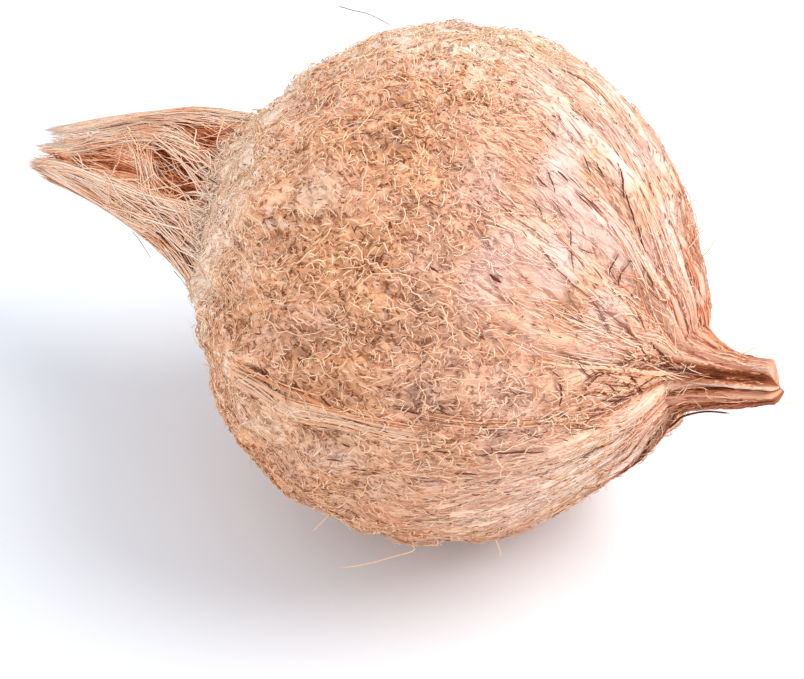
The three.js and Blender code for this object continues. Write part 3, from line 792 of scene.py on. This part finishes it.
def pale_share(x, angle):
    """The smooth pinkish-white areas on the upper beak side, and faint pink clouds all over."""
    points = husk_point(along_at(x), angle)
    area = smoothstep(x, *PALE_BEGINS) * smoothstep(x, *PALE_ENDS)
    front = smoothstep(np.abs(angle_gap(angle, PALE_FRONT)), 1.0, 0.5)
    under = smoothstep(np.abs(angle_gap(angle, PALE_UNDER)), 0.6, 0.2) * smoothstep(x, *PALE_UNDER_BEGINS)
    patches = smoothstep(field(points, 9, 31), -0.6, 0.5)
    clouds = 0.28 * smoothstep(field(points, 10, 35), 0.0, 1.3)
    smooth = area * np.maximum(lerp(0.45, 1, front), 0.4 * under) * lerp(0.35, 1, patches)
    return np.maximum(clouds, 0.85 * smooth)


def dust_share(x, angle):
    """Greyish felt round the tuft and in patches where the loose fibre has rubbed off."""
    points = husk_point(along_at(x), angle)
    total = 0.8 * smoothstep(x, *FELT_BEGINS) * smoothstep(field(points, 9, 33), -1.3, -0.1)
    for place in DUSTY:
        total = np.maximum(total, spot(x, angle, *place))
    ragged = 0.75 + 0.25 * field(points, 3, 32)
    return np.clip(total * ragged, 0, 0.9)


def clump_height(x, angle):
    """How far the loose mat swells into clumps, which are drawn out along the husk."""
    squeezed = husk_point(along_at(x), angle) * (0.45, 1, 1)
    lumps = 0.4 * field(squeezed, 3.4, 71) + 0.22 * field(squeezed, 1.9, 72)
    return (1 - drawn_share(x, angle)) * lumps


def painted_light_share(x, angle):
    """How much paler the fibre is painted where it stands in for light: painted light."""
    total = 0.0 * x * angle
    for place in PAINTED_LIGHT:
        total = total + spot(x, angle, *place)
    return total


def crack_share(x, angle, least=0.0):
    """How far a place is inside a crack, with each at least a given half width."""
    total = 0.0 * x * angle
    for at_x, at_angle, heading, length, half, _ in CRACKS:
        ahead = along_at(x) - along_at(at_x)
        beside = profile(x) * angle_gap(angle, math.radians(at_angle))
        turn = math.radians(heading)
        lengthways = np.abs(ahead * math.cos(turn) + beside * math.sin(turn))
        across = (beside * math.cos(turn) - ahead * math.sin(turn)) / max(half, least)
        inside = np.exp(-across**2) * smoothstep(lengthways, length / 2 + 0.5, length / 2 - 1)
        total = np.maximum(total, inside)
    return total


# ---- The skin of the nut ----------------------------------------------------------------

SKIN_SIDES = 370
SKIN_STEP = 1.1
SKIN_REST_FADE = (9.0, 16.0)  # the distance from the flat spot over which its detail fades in
MAT_DEPTH = 0.9  # how far the skin lies under the husk's outline where there is a mat over it
STREAK_DEPTH = 0.5  # and where it is combed or felted
BEAK_DEPTH = 0.1
CRACK_DEPTH = 0.7
LEAST_CRACK = 0.32  # the half width of the narrowest crack that the skin's points can show
BEAK_ROUNDING = 1.6


def beak_share(x):
    return smoothstep(x, *BEAK_STARTS)


def beak_grain(x, angle):
    """The height and tone of the ridges and clefts that twist along the beak."""
    return around(BEAK_GRAIN, np.degrees(angle) - BEAK_TWIST * (x - BEAK_MARK))


def beak_point(along, angle, height, low=0.0):
    """A place on the husk as husk_point has it, with the beak's ridges and slanting end."""
    x = x_at(along)
    ridge = beak_grain(x, angle)[0] * beak_share(x)
    point = husk_point(along, angle, height + ridge, low)
    lean = -np.cos(angle_gap(angle, math.radians(-40)))
    point[..., 0] += BEAK_SLANT * (lean + 0.15) * smoothstep(x, BEAK_END - 9, BEAK_END)
    return point


def make_skin():
    """The closed skin of packed fibre over the nut and its beak, with all of their relief."""
    over = BEAK_ROUNDING * np.array([0.0, 0.35, 0.65, 0.85, 0.97])
    along = np.concatenate([np.arange(2.0, LENGTH - 0.3, SKIN_STEP), LENGTH + over])
    angle = np.arange(SKIN_SIDES) * TURN / SKIN_SIDES
    along, angle = np.meshgrid(along, angle, indexing="ij")
    x = x_at(along)
    rough = husk_point(along, angle)
    drawn = drawn_share(x, angle)
    pale = pale_share(x, angle)
    dust = dust_share(x, angle)
    wandering = angle + 0.07 * field(rough, 14, 43)
    combed = np.stack([along, BODY_RADIUS * np.cos(wandering), BODY_RADIUS * np.sin(wandering)], -1)
    squeezed = combed * (0.1, 1, 1)
    clumps = clump_height(x, angle)
    grains = clumps + 0.2 * field(rough, 1.4, 42)
    streaks = (0.35 * field(squeezed, 2.6, 44) + 0.25 * field(squeezed, 1.3, 45)) * (1 - 0.5 * pale)
    off_rest = smoothstep(np.hypot(x, BODY_RADIUS * angle_gap(angle, math.pi)), *SKIN_REST_FADE)
    detail = off_rest * smoothstep(radius_at(along), 3, 12) * lerp(grains, streaks, drawn)
    crack = crack_share(x, angle, LEAST_CRACK)
    depth = lerp(MAT_DEPTH, STREAK_DEPTH, np.maximum(drawn, dust))
    beak = beak_share(x)
    detail = detail * (1 - 0.7 * dust)
    depth = lerp(depth, BEAK_DEPTH, beak)
    points = beak_point(along, angle, detail - depth - CRACK_DEPTH * crack)
    shrunk = np.sqrt(1 - (np.clip(along - LENGTH, 0, None) / BEAK_ROUNDING) ** 2)
    middle = points.mean(axis=1, keepdims=True)
    points[..., 1:] = lerp(middle[..., 1:], points[..., 1:], shrunk[..., None])
    # Painted light: how much paler the skin is made where it stands in for light.
    bleach_and_painted_light = painted_light_share(x, angle)
    # Painted shade: where the relief dips, the skin is painted dark, less so where painted light is.
    hollow = smoothstep(detail, -0.3, -0.8) * (1 - np.clip(bleach_and_painted_light, 0, 0.8))
    values = {
        "drawn": drawn,
        "pale": pale,
        "dust": dust,
        "beak": beak,
        "beak_tone": beak_grain(x, angle)[1],
        # The dark on the skin: painted shade in the hollows, and the cracks, partly their own darker fibre
        # and partly painted shade.
        "crack": np.clip(0.4 * crack + 0.5 * hollow, 0, 0.9),
        "bleach_and_painted_light": bleach_and_painted_light,
        "combed": combed,
    }
    make_sheet("husk_skin", skin_material(), points, values)


# ---- Fibres on the nut --------------------------------------------------------------------

def scatter(count, density, from_x, to_x):
    """Random places on the husk, as thick on it as density says for a place's x and angle."""
    tries = 6 * count
    edges = np.linspace(along_at(from_x), along_at(to_x), 600)
    weight = np.cumsum(radius_at(edges))
    along = np.interp(rng.uniform(0, weight[-1], tries), weight, edges)
    angle = rng.uniform(0, TURN, tries)
    keep = np.flatnonzero(rng.uniform(size=tries) < density(x_at(along), angle))[:count]
    return along[keep], angle[keep], len(keep)


def wander(along, angle, heading, length, curl, jitter, steps, bent=1.0):
    """Paths over the husk from a place and heading, of random length, which curl as they go."""
    count = len(along)
    step = rng.uniform(*length, count) / (steps - 1)
    curl = rng.normal(0, curl, count) * bent
    alongs = [along]
    angles = [angle]
    for _ in range(steps - 1):
        along = along + step * np.cos(heading)
        angle = angle + step * np.sin(heading) / turning_radius(along)
        heading = heading + curl / (steps - 1) + rng.normal(0, jitter, count)
        alongs.append(along)
        angles.append(angle)
    return np.stack(alongs, 1), np.stack(angles, 1)


def lay(name, material, alongs, angles, height, half, values, low=CLEARANCE, **form):
    """Fibres laid over the husk at a height, with none of them lower than low over the floor."""
    paths = husk_point(alongs, angles, height, low)
    make_tubes(name, material, paths, husk_normal(alongs, angles), half, values, **form)


def husk_values(alongs, angles, tone, pale=1.0, dust=1.0):
    """The numbers that colour each fibre, read from the husk under its middle."""
    x = x_at(alongs[:, alongs.shape[1] // 2])
    angle = angles[:, angles.shape[1] // 2]
    # A random few fibres are bleached to beige: their own colour.
    bleach_and_painted_light = 0.5 * (rng.uniform(size=len(x)) < 0.22) * dust
    return {
        # Painted light: fibre tone is raised where it stands in for light.
        "tone": np.clip(tone + painted_light_share(x, angle), 0, 1),
        "pale": pale * pale_share(x, angle),
        "dust": np.maximum(dust * dust_share(x, angle), bleach_and_painted_light),
    }


def mat_density(x, angle):
    """Curly mat on the tuft side, thin where felt shows, combed or cracked."""
    drawn = drawn_share(x, angle)
    pale = pale_share(x, angle)
    under = smoothstep(np.abs(angle_gap(angle, math.radians(115))), 0.8, 0.4)
    combed = 0.3 + 0.1 * under - 0.25 * pale
    felt = 1 - 0.85 * dust_share(x, angle)
    return lerp(1, combed, drawn) * felt * (crack_share(x, angle) < 0.3)


def streak_density(x, angle):
    drawn = drawn_share(x, angle) ** 0.6
    return drawn * (1 - 0.3 * pale_share(x, angle)) * (crack_share(x, angle) < 0.3)


def slit_density(x, angle):
    """The slits between the combed strands, few where the fibre is painted paler as painted light."""
    return streak_density(x, angle) * (1 - np.clip(painted_light_share(x, angle), 0, 0.9))


def hollow_density(x, angle):
    """The hollows between the clumps of the mat."""
    return mat_density(x, angle) * smoothstep(clump_height(x, angle), 0.15, -0.25)


def swirl(along, angle):
    """Which way the mat's fibres tend to lie: swirled on the nut, and straight to the beak."""
    drawn = drawn_share(x_at(along), angle)
    return 1.1 * field(husk_point(along, angle), 9, 61) * (1 - drawn)


def make_mat(name, material, count, length, width, lift, tones, steps, curl, rise):
    """Short curly fibres, swirled over the nut and combed along it towards the beak."""
    along, angle, count = scatter(count, mat_density, -52, 66)
    drawn = drawn_share(x_at(along), angle)
    heading = swirl(along, angle) + rng.normal(0, 1, count) * lerp(0.6, 0.2, drawn)
    alongs, angles = wander(along, angle, heading, length, curl, 0.35, steps, lerp(1, 0.4, drawn))
    t = np.linspace(0, 1, steps)
    base = rng.uniform(0, 1, count)
    arch = rng.uniform(0.1, rise, count)
    clumps = clump_height(x_at(alongs), angles)
    height = lerp(*lift, column(base)) + column(arch) * np.sin(math.pi * t) + 0.3 * column(drawn) + clumps
    free = rng.uniform(size=count) < 0.1
    height[free] += column(rng.uniform(0.3, 0.9, free.sum())) * t**1.5
    half = column(rng.uniform(*width, count)) * (0.7 + 0.3 * np.sin(math.pi * t))
    # Painted shade: fibres that lie lower, and those in the hollows between clumps, are darker; higher ones
    # are paler.
    tone = lerp(*tones, base) + rng.normal(0, 0.12, count) + 0.3 * clumps[:, steps // 2]
    lay(name, material, alongs, angles, height, half, husk_values(alongs, angles, tone), flat=0.8)


def make_streaks(name, count, length, width, steps=6):
    """Fine strands laid along the nut on its beak side, half sunk in its skin."""
    along, angle, count = scatter(count, streak_density, -30, 64)
    drawn = drawn_share(x_at(along), angle)
    heading = rng.normal(0, 0.12, count) + 0.35 * rng.normal(size=count) * (1 - drawn)
    alongs, angles = wander(along, angle, heading, length, 0.25, 0.07, steps)
    alongs = np.minimum(alongs, LENGTH + 1)
    t = np.linspace(0, 1, steps)
    base = rng.uniform(0, 1, count)
    wave = 0.1 * np.cos(TURN * 1.5 * t + column(rng.uniform(0, TURN, count)))
    height = lerp(-0.6, -0.2, column(base)) + 0.12 * np.sin(math.pi * t) + wave
    narrow = np.clip(radius_at(alongs) / 30, 0.35, 1)
    half = column(rng.uniform(*width, count)) * (0.55 + 0.45 * np.sin(math.pi * t)) * narrow
    russet = smoothstep(x_at(alongs[:, steps // 2]), 50, 68)
    # Painted shade: the deeper-sunk strands are darker.
    tone = 0.25 + 0.5 * base + rng.normal(0, 0.17, count) - 0.12 * russet
    values = husk_values(alongs, angles, tone, dust=0.6)
    lay(name, BAST, alongs, angles, height, half, values, flat=0.7, most=0.22)


def hair_values(alongs, angles, count):
    """The numbers that colour loose hairs, which take little of the husk's own colour."""
    tone = rng.uniform(0.25, 0.9, count)
    return husk_values(alongs, angles, tone, pale=0.3, dust=0.2)


def make_hairs(name, count, steps=14):
    """Long pale hairs that loop over the mat."""
    along, angle, count = scatter(count, mat_density, -50, 50)
    heading = rng.uniform(-math.pi, math.pi, count)
    alongs, angles = wander(along, angle, heading, (4, 13), 2.6, 0.2, steps)
    t = np.linspace(0, 1, steps)
    arch = column(rng.uniform(0.1, 0.7, count))
    bends = column(rng.integers(1, 4, count))
    height = -0.1 + arch * np.abs(np.sin(math.pi * t * bends))
    half = column(rng.uniform(0.07, 0.12, count))
    lay(name, HAIR, alongs, angles, height, half, hair_values(alongs, angles, count), LOOSE_CLEARANCE)


def make_fuzz(name, count, steps=5):
    """Short hairs that stand off the husk and soften its outline."""
    along, angle, count = scatter(count, lambda x, angle: np.ones_like(x), -51, 68)
    heading = rng.uniform(-math.pi, math.pi, count)
    alongs, angles = wander(along, angle, heading, (1.5, 4.5), 1.5, 0.3, steps)
    t = np.linspace(0, 1, steps)
    reach = column(rng.gamma(2.0, 0.45, count).clip(0.2, 2.8))
    half = column(rng.uniform(0.06, 0.12, count)) * lerp(1, 0.5, t)
    height = -0.4 + reach * t**0.8
    lay(name, HAIR, alongs, angles, height, half, hair_values(alongs, angles, count), LOOSE_CLEARANCE)


def make_dashes(name, count, density, length, width, lift, tones, steps=4):
    """Small dark slits between the fibres, which follow the way the husk is combed: dark tubes as painted
    shade in the gaps.
    """
    along, angle, count = scatter(count, density, -46, 62)
    heading = rng.normal(0.1, 0.35, count)
    alongs, angles = wander(along, angle, heading, length, 0.6, 0.1, steps)
    half = column(rng.uniform(*width, count)) * (0.3 + 0.7 * np.sin(math.pi * np.linspace(0, 1, steps)))
    values = plain(rng.uniform(*tones, count))
    height = lift + clump_height(x_at(alongs), angles)
    lay(name, SLIVER, alongs, angles, height, half, values, most=0.12)


def make_cracks(name, steps=13):
    """A dark lens in the bottom of each crack, partly its own darker fibre and partly painted shade."""
    x, angle, heading, length, half, grey = np.array(CRACKS, float).T
    t = np.linspace(-0.5, 0.5, steps)
    bend = 0.02 * column(length) * (np.cos(TURN * t + column(x)) + 0.4 * np.cos(3 * TURN * t + column(angle)))
    turn = column(np.radians(heading))
    ahead = column(length) * t * np.cos(turn) - bend * np.sin(turn)
    beside = column(length) * t * np.sin(turn) + bend * np.cos(turn)
    alongs = column(along_at(x)) + ahead
    angles = column(np.radians(angle)) + beside / turning_radius(alongs)
    half = column(half) * (0.3 + 0.7 * np.cos(math.pi * t))
    lay(name, SLIVER, alongs, angles, -0.1 + 0 * alongs, half, plain(grey), most=0.15, sides=4)


def make_husk_bundles(name, steps=16, fray=0.06):
    """Strands that follow listed paths over the husk, side by side, and rise out of it."""
    parts = []
    t = np.linspace(0, 1, steps)
    for count, spread, width, tones, lift, knots in HUSK_BUNDLES:
        x, angle = through(knots, steps).T
        beside = column(rng.normal(0, 0.5 * spread, count))
        sway = 0.25 * spread * np.sin(TURN * t * rng.uniform(0.5, 1.3, (count, 1)) + beside * 3)
        start = column(rng.uniform(-fray, fray, count)) * (x[-1] - x[0])
        alongs = along_at(x + start)
        angles = np.radians(angle) + (beside + sway) / turning_radius(alongs)
        sunk = 0.7 * (1 - smoothstep(t, 0, 0.25)) + 0.5 * smoothstep(t, 0.75, 1)
        height = lift + column(rng.uniform(-0.25, 0.25, count)) - sunk
        half = column(rng.uniform(*width, count)) * (0.5 + 0.5 * np.sin(math.pi * t) ** 0.5)
        parts.append((alongs, angles, height, half, rng.uniform(*tones, count)))
    alongs, angles, height, half, tone = (np.concatenate(part) for part in zip(*parts))
    values = husk_values(alongs, angles, tone, pale=0.4, dust=0.8)
    lay(name, BAST, alongs, angles, height, half, values, flat=0.7, most=0.25, sides=4)


def make_curls(name, steps=30):
    """The long curls that stand out on the near side."""
    halves, knots = zip(*CURLS)
    x, angle = np.stack([through(part, steps) for part in knots]).transpose(2, 0, 1)
    t = np.linspace(0, 1, steps)
    angle = angle + 0.5 * np.sin(TURN * 5 * t + x) * np.sin(math.pi * t)
    alongs, angles = along_at(x), np.radians(angle)
    height = 0.05 + 0.25 * np.sin(TURN * 2.5 * t + column(alongs[:, 0]))
    half = 0.65 * column(halves)
    values = husk_values(alongs, angles, np.full(len(halves), 0.6), pale=0.2, dust=0.0)
    lay(name, HAIR, alongs, angles, height, half, values, LOOSE_CLEARANCE, sides=4)


def make_free_hairs(name, steps=16):
    """The hairs that stand clear of the husk. The thickest and the thinnest ones are dark."""
    halves, knots = zip(*FREE_HAIRS)
    paths = np.stack([through(part, steps) for part in knots])
    normals = np.broadcast_to([0.2, -0.3, 0.93], paths.shape)
    half = column(halves) * np.linspace(1, 0.6, steps)
    dark = (np.array(halves) > 0.3) | (np.array(halves) < 0.1)
    make_tubes(name, HAIR, paths, normals, half, plain(np.where(dark, -0.2, 0.7)), sides=4)


# ---- The tuft -----------------------------------------------------------------------------

def tuft_radius(share, angle):
    near = [np.exp(-((angle_gap(angle, at) / TUFT_EDGE_WIDTH) ** 2)) for at in TUFT_EDGES]
    near = np.stack(near, -1)
    total = near.sum(-1)
    root = lerp(TUFT_FACE_RADIUS, near @ TUFT_EDGE_RADIUS / total, np.minimum(1, total))
    drawn_in = (1 - np.clip(share, 0, 1)) ** (near @ TUFT_EDGE_POWER / total)
    return lerp(TUFT_TIP_RADIUS, root, drawn_in)


def tuft_point(share, angle, scale=1.0):
    share, angle = np.broadcast_arrays(share, angle)
    r = scale * tuft_radius(share, angle)
    return np.stack(
        [
            lerp(TUFT_ROOT, TUFT_TIP, share),
            TUFT_TIP_DRIFT[0] * share - r * np.sin(angle),
            CENTRE_HEIGHT + TUFT_TIP_DRIFT[1] * share + r * np.cos(angle),
        ],
        -1,
    )


def tuft_normal(angle):
    return np.stack([np.zeros_like(angle), -np.sin(angle), np.cos(angle)], -1)


def gap_share(share, angle):
    """How far a place on the tuft is inside one of its russet gaps."""
    total = 0.0 * share * angle
    for at, at_angle, half_length, half_width, strength in TUFT_GAPS:
        lengthways = (TUFT_ROOT - TUFT_TIP) * (share - at) / half_length
        across = tuft_radius(share, angle) * angle_gap(angle, math.radians(at_angle)) / half_width
        total = np.maximum(total, strength * smoothstep(np.hypot(lengthways, across), 1.3, 0.6))
    slits = field(tuft_point(share, angle) * (0.35, 1, 1), 2.6, 73)
    return np.maximum(total, 0.75 * smoothstep(slits, 0.6, 1.1) * smoothstep(share, 0.96, 0.86))


def collar_share(share, angle):
    """How far a place on the tuft's root is under the felt that climbs from the nut."""
    reach = around(COLLAR, np.degrees(angle))[0]
    reach = reach + 0.015 * np.sin(7 * angle) + 0.01 * np.sin(17 * angle + 1) + 0.008 * np.sin(31 * angle)
    return smoothstep(reach - share, 0, 0.05)


def lay_on_tuft(name, shares, angles, scales, half, values, **form):
    make_tubes(name, TUFTED, tuft_point(shares, angles, scales), tuft_normal(angles), half, values, **form)


CORE_SIDES = 160
CORE_RINGS = 60
CORE_LENGTH = 0.93  # as a share of the tuft's
CORE_NARROWS = (0.7, 0.92)


def make_tuft_core():
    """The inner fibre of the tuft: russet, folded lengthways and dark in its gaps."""
    share = column(np.linspace(0, CORE_LENGTH, CORE_RINGS)) + np.zeros(CORE_SIDES)
    angle = np.zeros((CORE_RINGS, 1)) + np.arange(CORE_SIDES) * TURN / CORE_SIDES
    twisted = angle + 0.2 * np.sin(3 * share + 2 * angle)
    fold = np.cos(23 * twisted + 2 * share) + 0.6 * np.cos(11 * twisted - 4 * share)
    fold = fold + 0.6 * np.cos(41 * twisted)
    end = smoothstep(share, *CORE_NARROWS)
    gap = gap_share(share, angle)
    scale = (0.92 + 0.025 * fold - 0.14 * gap) * lerp(1, 0.35, end)
    collar = collar_share(share, angle)
    scale = lerp(scale, 1.0, collar)
    points = tuft_point(share, angle, scale)
    points = points + (collar * 0.3 * field(points, 2.2, 71))[..., None] * tuft_normal(angle)
    # Painted shade: darker where it draws in deep between the tips and in the troughs of its folds; the gaps
    # are russet.
    tone = lerp(0.54, 0.1, np.maximum(gap, end)) + 0.05 * fold
    tone = np.clip(lerp(tone, 0.6, collar), 0, 1)
    make_sheet("tuft_core", TUFTED, points, plain(tone, 0.75 * collar))


def make_tuft_bundles(name, steps=12):
    """Wavy strands in bundles from the nut to the tips, a quarter of them laid over the gaps."""
    parts = []
    t = np.linspace(0, 1, steps)
    for count, root_spread, tip_spread, width, tones, knots in TUFT_BUNDLES:
        share, angle, scale = through(knots, steps).T
        apart = lerp(root_spread, tip_spread, smoothstep(share, 0.1, 1.0))
        beside = column(rng.normal(0, 0.6, count))
        phase = column(rng.uniform(0, TURN, count))
        sway = 0.5 * np.sin(TURN * t * rng.uniform(0.5, 1.5, (count, 1)) + phase)
        sway = sway + 0.1 * np.sin(TURN * t * rng.uniform(1.6, 2.4, (count, 1)) - phase)
        sway = sway + column(rng.normal(0, 0.45, count)) * (2 * t - 1)
        out = column(rng.uniform(-1, 0.25, count))
        shares = share + column(rng.uniform(-0.07, 0.02, count)) * t
        radius = tuft_radius(shares, np.radians(angle))
        angles = np.radians(angle) + (beside + sway) * apart / radius
        over = column(rng.uniform(size=count) < 0.25)
        gap = gap_share(shares, angles) * (1 - over)
        collar = collar_share(shares, angles)
        deep = 0.05 * out + 0.02 * np.sin(TURN * t * 1.3 + phase) - 0.14 * gap - 0.06 * collar
        half = 1.1 * column(lerp(*width, rng.uniform(0, 1, count) ** 1.4)) * lerp(1, 0.6, t)
        blotch = smoothstep(field(tuft_point(shares, angles) * (0.4, 1, 1), 3.5, 77), 0.3, 1.1)
        # Painted shade: strands that lie deeper are a little darker.
        tone = column(rng.uniform(*tones, count)) + 0.1 + 0.05 * out - 0.28 * blotch
        parts.append((shares, angles, scale + deep, half, np.clip(lerp(tone, 0.3 * tone, gap), 0, 1)))
    shares, angles, scales, half, tone = (np.concatenate(part) for part in zip(*parts))
    values = plain(tone, 0.7 * collar_share(shares - 0.05, angles))
    lay_on_tuft(name, shares, angles, scales, half, values, flat=0.7, most=0.25)


def make_collar(name, count, steps=4):
    """Short dusty fibres matted over the felt on the tuft's root."""
    angle = rng.uniform(0, TURN, count)
    share = rng.uniform(0, 0.3, count)
    inside = rng.uniform(size=count) < collar_share(share - 0.03, angle)
    share, angle = share[inside], angle[inside]
    count = len(share)
    t = np.linspace(-0.5, 0.5, steps)
    heading = column(rng.uniform(-math.pi, math.pi, count)) + column(rng.normal(0, 1.5, count)) * t
    size = column(rng.uniform(1, 3.6, count))
    shares = column(share) + size * t * np.cos(heading) / (TUFT_ROOT - TUFT_TIP)
    angles = column(angle) + size * t * np.sin(heading) / column(tuft_radius(share, angle))
    height = column(rng.uniform(-0.4, 0.5, count)) + 0.3 * np.cos(math.pi * t)
    paths = tuft_point(shares, angles) + height[..., None] * tuft_normal(angles)
    half = column(rng.uniform(0.1, 0.22, count))
    values = plain(rng.uniform(0.5, 1.0, count), rng.uniform(0.5, 1.0, count))
    make_tubes(name, MAT, paths, tuft_normal(angles), half, values)


def make_tuft_curls(name, count, steps=14):
    """Thin strands that cross the faces of the tuft from corner to corner."""
    angle_from = rng.uniform(0, TURN, count)
    angle_to = angle_from + rng.normal(0, 0.55, count)
    share_from = rng.uniform(0.05, 0.75, count)
    share_to = np.clip(share_from + rng.normal(0.05, 0.22, count), 0.02, 1.0)
    t = np.linspace(0, 1, steps)
    share = lerp(column(share_from), column(share_to), t)
    angle = lerp(column(angle_from), column(angle_to), t)
    angle = angle + 0.07 * np.sin(TURN * t + column(rng.uniform(0, TURN, count)))
    stray = column(rng.uniform(-0.1, 0.08, count)).clip(0) * t**2
    scale = column(rng.uniform(0.95, 1.02, count)) + 0.03 * np.sin(math.pi * t) + stray
    half = column(rng.uniform(0.08, 0.18, count))
    lay_on_tuft(name, share, angle, scale, half, plain(rng.uniform(0.6, 1, count)))


def make_tuft_heart(name, count, steps=10):
    """Strands that cross one another in the hollow between the tips of the tuft."""
    t = np.linspace(0, 1, steps)
    share = lerp(0.6, column(rng.uniform(0.88, 1.02, count)), t)
    scale = lerp(column(rng.uniform(0.2, 0.85, count)), column(rng.uniform(0.05, 0.85, count)), t)
    turned = column(rng.normal(0, 1.1, count)) * t + 0.3 * np.sin(TURN * t)
    angle = column(rng.uniform(0, TURN, count)) + turned
    half = column(rng.uniform(0.16, 0.42, count)) * lerp(1, 0.7, t)
    lay_on_tuft(name, share, angle, scale, half, plain(rng.uniform(0.25, 0.85, count)), flat=0.7)


def make_beak_strands(name, count, steps=6):
    """Short strands that run with the beak's ridges, most of them half sunk in them."""
    middle = rng.uniform(51, BEAK_END - 1.5, count)
    size = rng.uniform(2, 8, count)
    t = np.linspace(0, 1, steps)
    x = np.minimum(column(middle) + column(size) * (t - 0.5), BEAK_END + 0.8)
    heading = column(rng.normal(0, 5, count)) * (t - 0.5)
    angle = column(rng.uniform(0, 360, count)) + BEAK_TWIST * (x - BEAK_MARK) + heading
    angle = np.radians(angle + 1.5 * np.sin(TURN * t + column(middle)))
    height = column(rng.uniform(-0.25, 0.12, count)) - 0.3 * (2 * t - 1) ** 2
    paths = beak_point(along_at(x), angle, height, CLEARANCE)
    half = column(rng.uniform(0.08, 0.24, count)) * (0.5 + 0.5 * np.sin(math.pi * t) ** 0.5)
    tone = np.clip(beak_grain(x, angle)[1] + column(rng.normal(0.02, 0.14, count)), 0, 1)
    make_tubes(name, BEAKED, paths, husk_normal(along_at(x), angle), half, plain(tone), flat=0.7)


make_skin()
# The lower layer is darker than the one over it: painted shade under the upper fibres.
for layer in ("mat_under_0", "mat_under_1"):
    make_mat(
        layer, UNDER, 7900, length=(1.0, 3.0), width=(0.11, 0.2), lift=(-0.95, -0.4),
        tones=(-0.1, 0.6), steps=4, curl=1.2, rise=0.4,
    )
for layer in ("mat_over_0", "mat_over_1"):
    make_mat(
        layer, MAT, 6000, length=(1.6, 4.6), width=(0.1, 0.2), lift=(-0.7, -0.05),
        tones=(0.15, 1.0), steps=5, curl=2.2, rise=0.5,
    )
make_streaks("streaks_fine", 5900, length=(3, 11), width=(0.07, 0.18))
# Painted shade: dark tubes in the hollows of the mat and in the slits of the combed side.
make_dashes(
    "dashes_mat", 2000, hollow_density, length=(0.5, 2.0), width=(0.1, 0.24), lift=-0.1,
    tones=(0.25, 0.85),
)
make_dashes(
    "dashes_streaks", 600, slit_density, length=(0.7, 2.4), width=(0.07, 0.14), lift=-0.12,
    tones=(0.2, 0.7),
)
make_cracks("cracks")
make_husk_bundles("husk_strands")
make_hairs("hairs", 170)
make_curls("curls")
make_fuzz("fuzz", 3000)
make_free_hairs("free_hairs")
make_tuft_core()
make_tuft_bundles("tuft_strands")
make_collar("collar", 4200)
make_tuft_curls("tuft_curls", 120)
make_beak_strands("beak_strands", 1100)
make_tuft_heart("tuft_heart", 170)


# ---- Floor, light and camera ---------------------------------------------------------------

FLOOR_HALF = 3000.0
FLOOR_COLOUR = (0.855, 0.865, 0.885, 1.0)


def make_floor():
    mesh = bpy.data.meshes.new("floor")
    half = FLOOR_HALF * MM
    corners = [(-half, -half, 0), (half, -half, 0), (half, half, 0), (-half, half, 0)]
    mesh.from_pydata(corners, [], [(0, 1, 2, 3)])
    floor = bpy.data.objects.new("floor", mesh)
    bpy.context.scene.collection.objects.link(floor)
    n = Nodes("floor")
    n.set("Base Color", FLOOR_COLOUR)
    n.set("Roughness", 0.9)
    n.set("Specular IOR Level", 0.0)
    mesh.materials.append(n.material)


CAMERA_AZIMUTH = math.radians(31.09)
CAMERA_ELEVATION = math.radians(38.0)
CAMERA_DISTANCE = 430.0
CAMERA_LENS = 85.0
CAMERA_SENSOR = 36.0
# How far its aim is to the right of and above the middle of the nut, as it sees the nut.
CAMERA_AIM = (-8.44, -12.33)


def view_axes():
    back = Vector((
        math.sin(CAMERA_AZIMUTH) * math.cos(CAMERA_ELEVATION),
        -math.cos(CAMERA_AZIMUTH) * math.cos(CAMERA_ELEVATION),
        math.sin(CAMERA_ELEVATION),
    ))
    right = Vector((math.cos(CAMERA_AZIMUTH), math.sin(CAMERA_AZIMUTH), 0))
    return right, back.cross(right), back


def make_camera():
    right, up, back = view_axes()
    target = Vector((0, 0, CENTRE_HEIGHT)) + right * CAMERA_AIM[0] + up * CAMERA_AIM[1]
    data = bpy.data.cameras.new("camera")
    data.lens = CAMERA_LENS
    data.sensor_width = CAMERA_SENSOR
    camera = bpy.data.objects.new("camera", data)
    bpy.context.scene.collection.objects.link(camera)
    turn = Matrix((right, up, back)).transposed().to_4x4()
    camera.matrix_world = Matrix.Translation((target + back * CAMERA_DISTANCE) * MM) @ turn
    bpy.context.scene.camera = camera


# Soft lamps, aimed near the nut's middle: name, place and width in metres, watts, colour.
LAMPS = [
    ("key", (0.57, 0.27, 0.85), 0.7, 8.2, (1, 0.985, 0.96)),
    ("fill", (-0.75, -0.8, 0.27), 0.7, 3.8, (1, 0.95, 0.9)),
    ("side", (0.75, -0.1, 0.12), 0.4, 0.8, (1, 0.9, 0.8)),
]
LAMP_AIM = (0, 0, 0.05)  # in metres too
WORLD_COLOUR = (0.845, 0.91, 1.0, 1.0)
WORLD_STRENGTH = 0.92


def add_lamp(name, place, size, power, colour):
    data = bpy.data.lights.new(name, "AREA")
    data.shape = "DISK"
    data.size = size
    data.energy = power
    data.color = colour
    light = bpy.data.objects.new(name, data)
    light.location = place
    light.rotation_euler = (Vector(place) - Vector(LAMP_AIM)).to_track_quat("Z", "Y").to_euler()
    bpy.context.scene.collection.objects.link(light)


def make_light():
    for lamp in LAMPS:
        add_lamp(*lamp)
    world = bpy.data.worlds.new("studio")
    world.use_nodes = True
    background = world.node_tree.nodes["Background"]
    background.inputs["Color"].default_value = WORLD_COLOUR
    background.inputs["Strength"].default_value = WORLD_STRENGTH
    scene = bpy.context.scene
    scene.world = world
    scene.view_settings.view_transform = "Standard"


make_floor()
make_camera()
make_light()
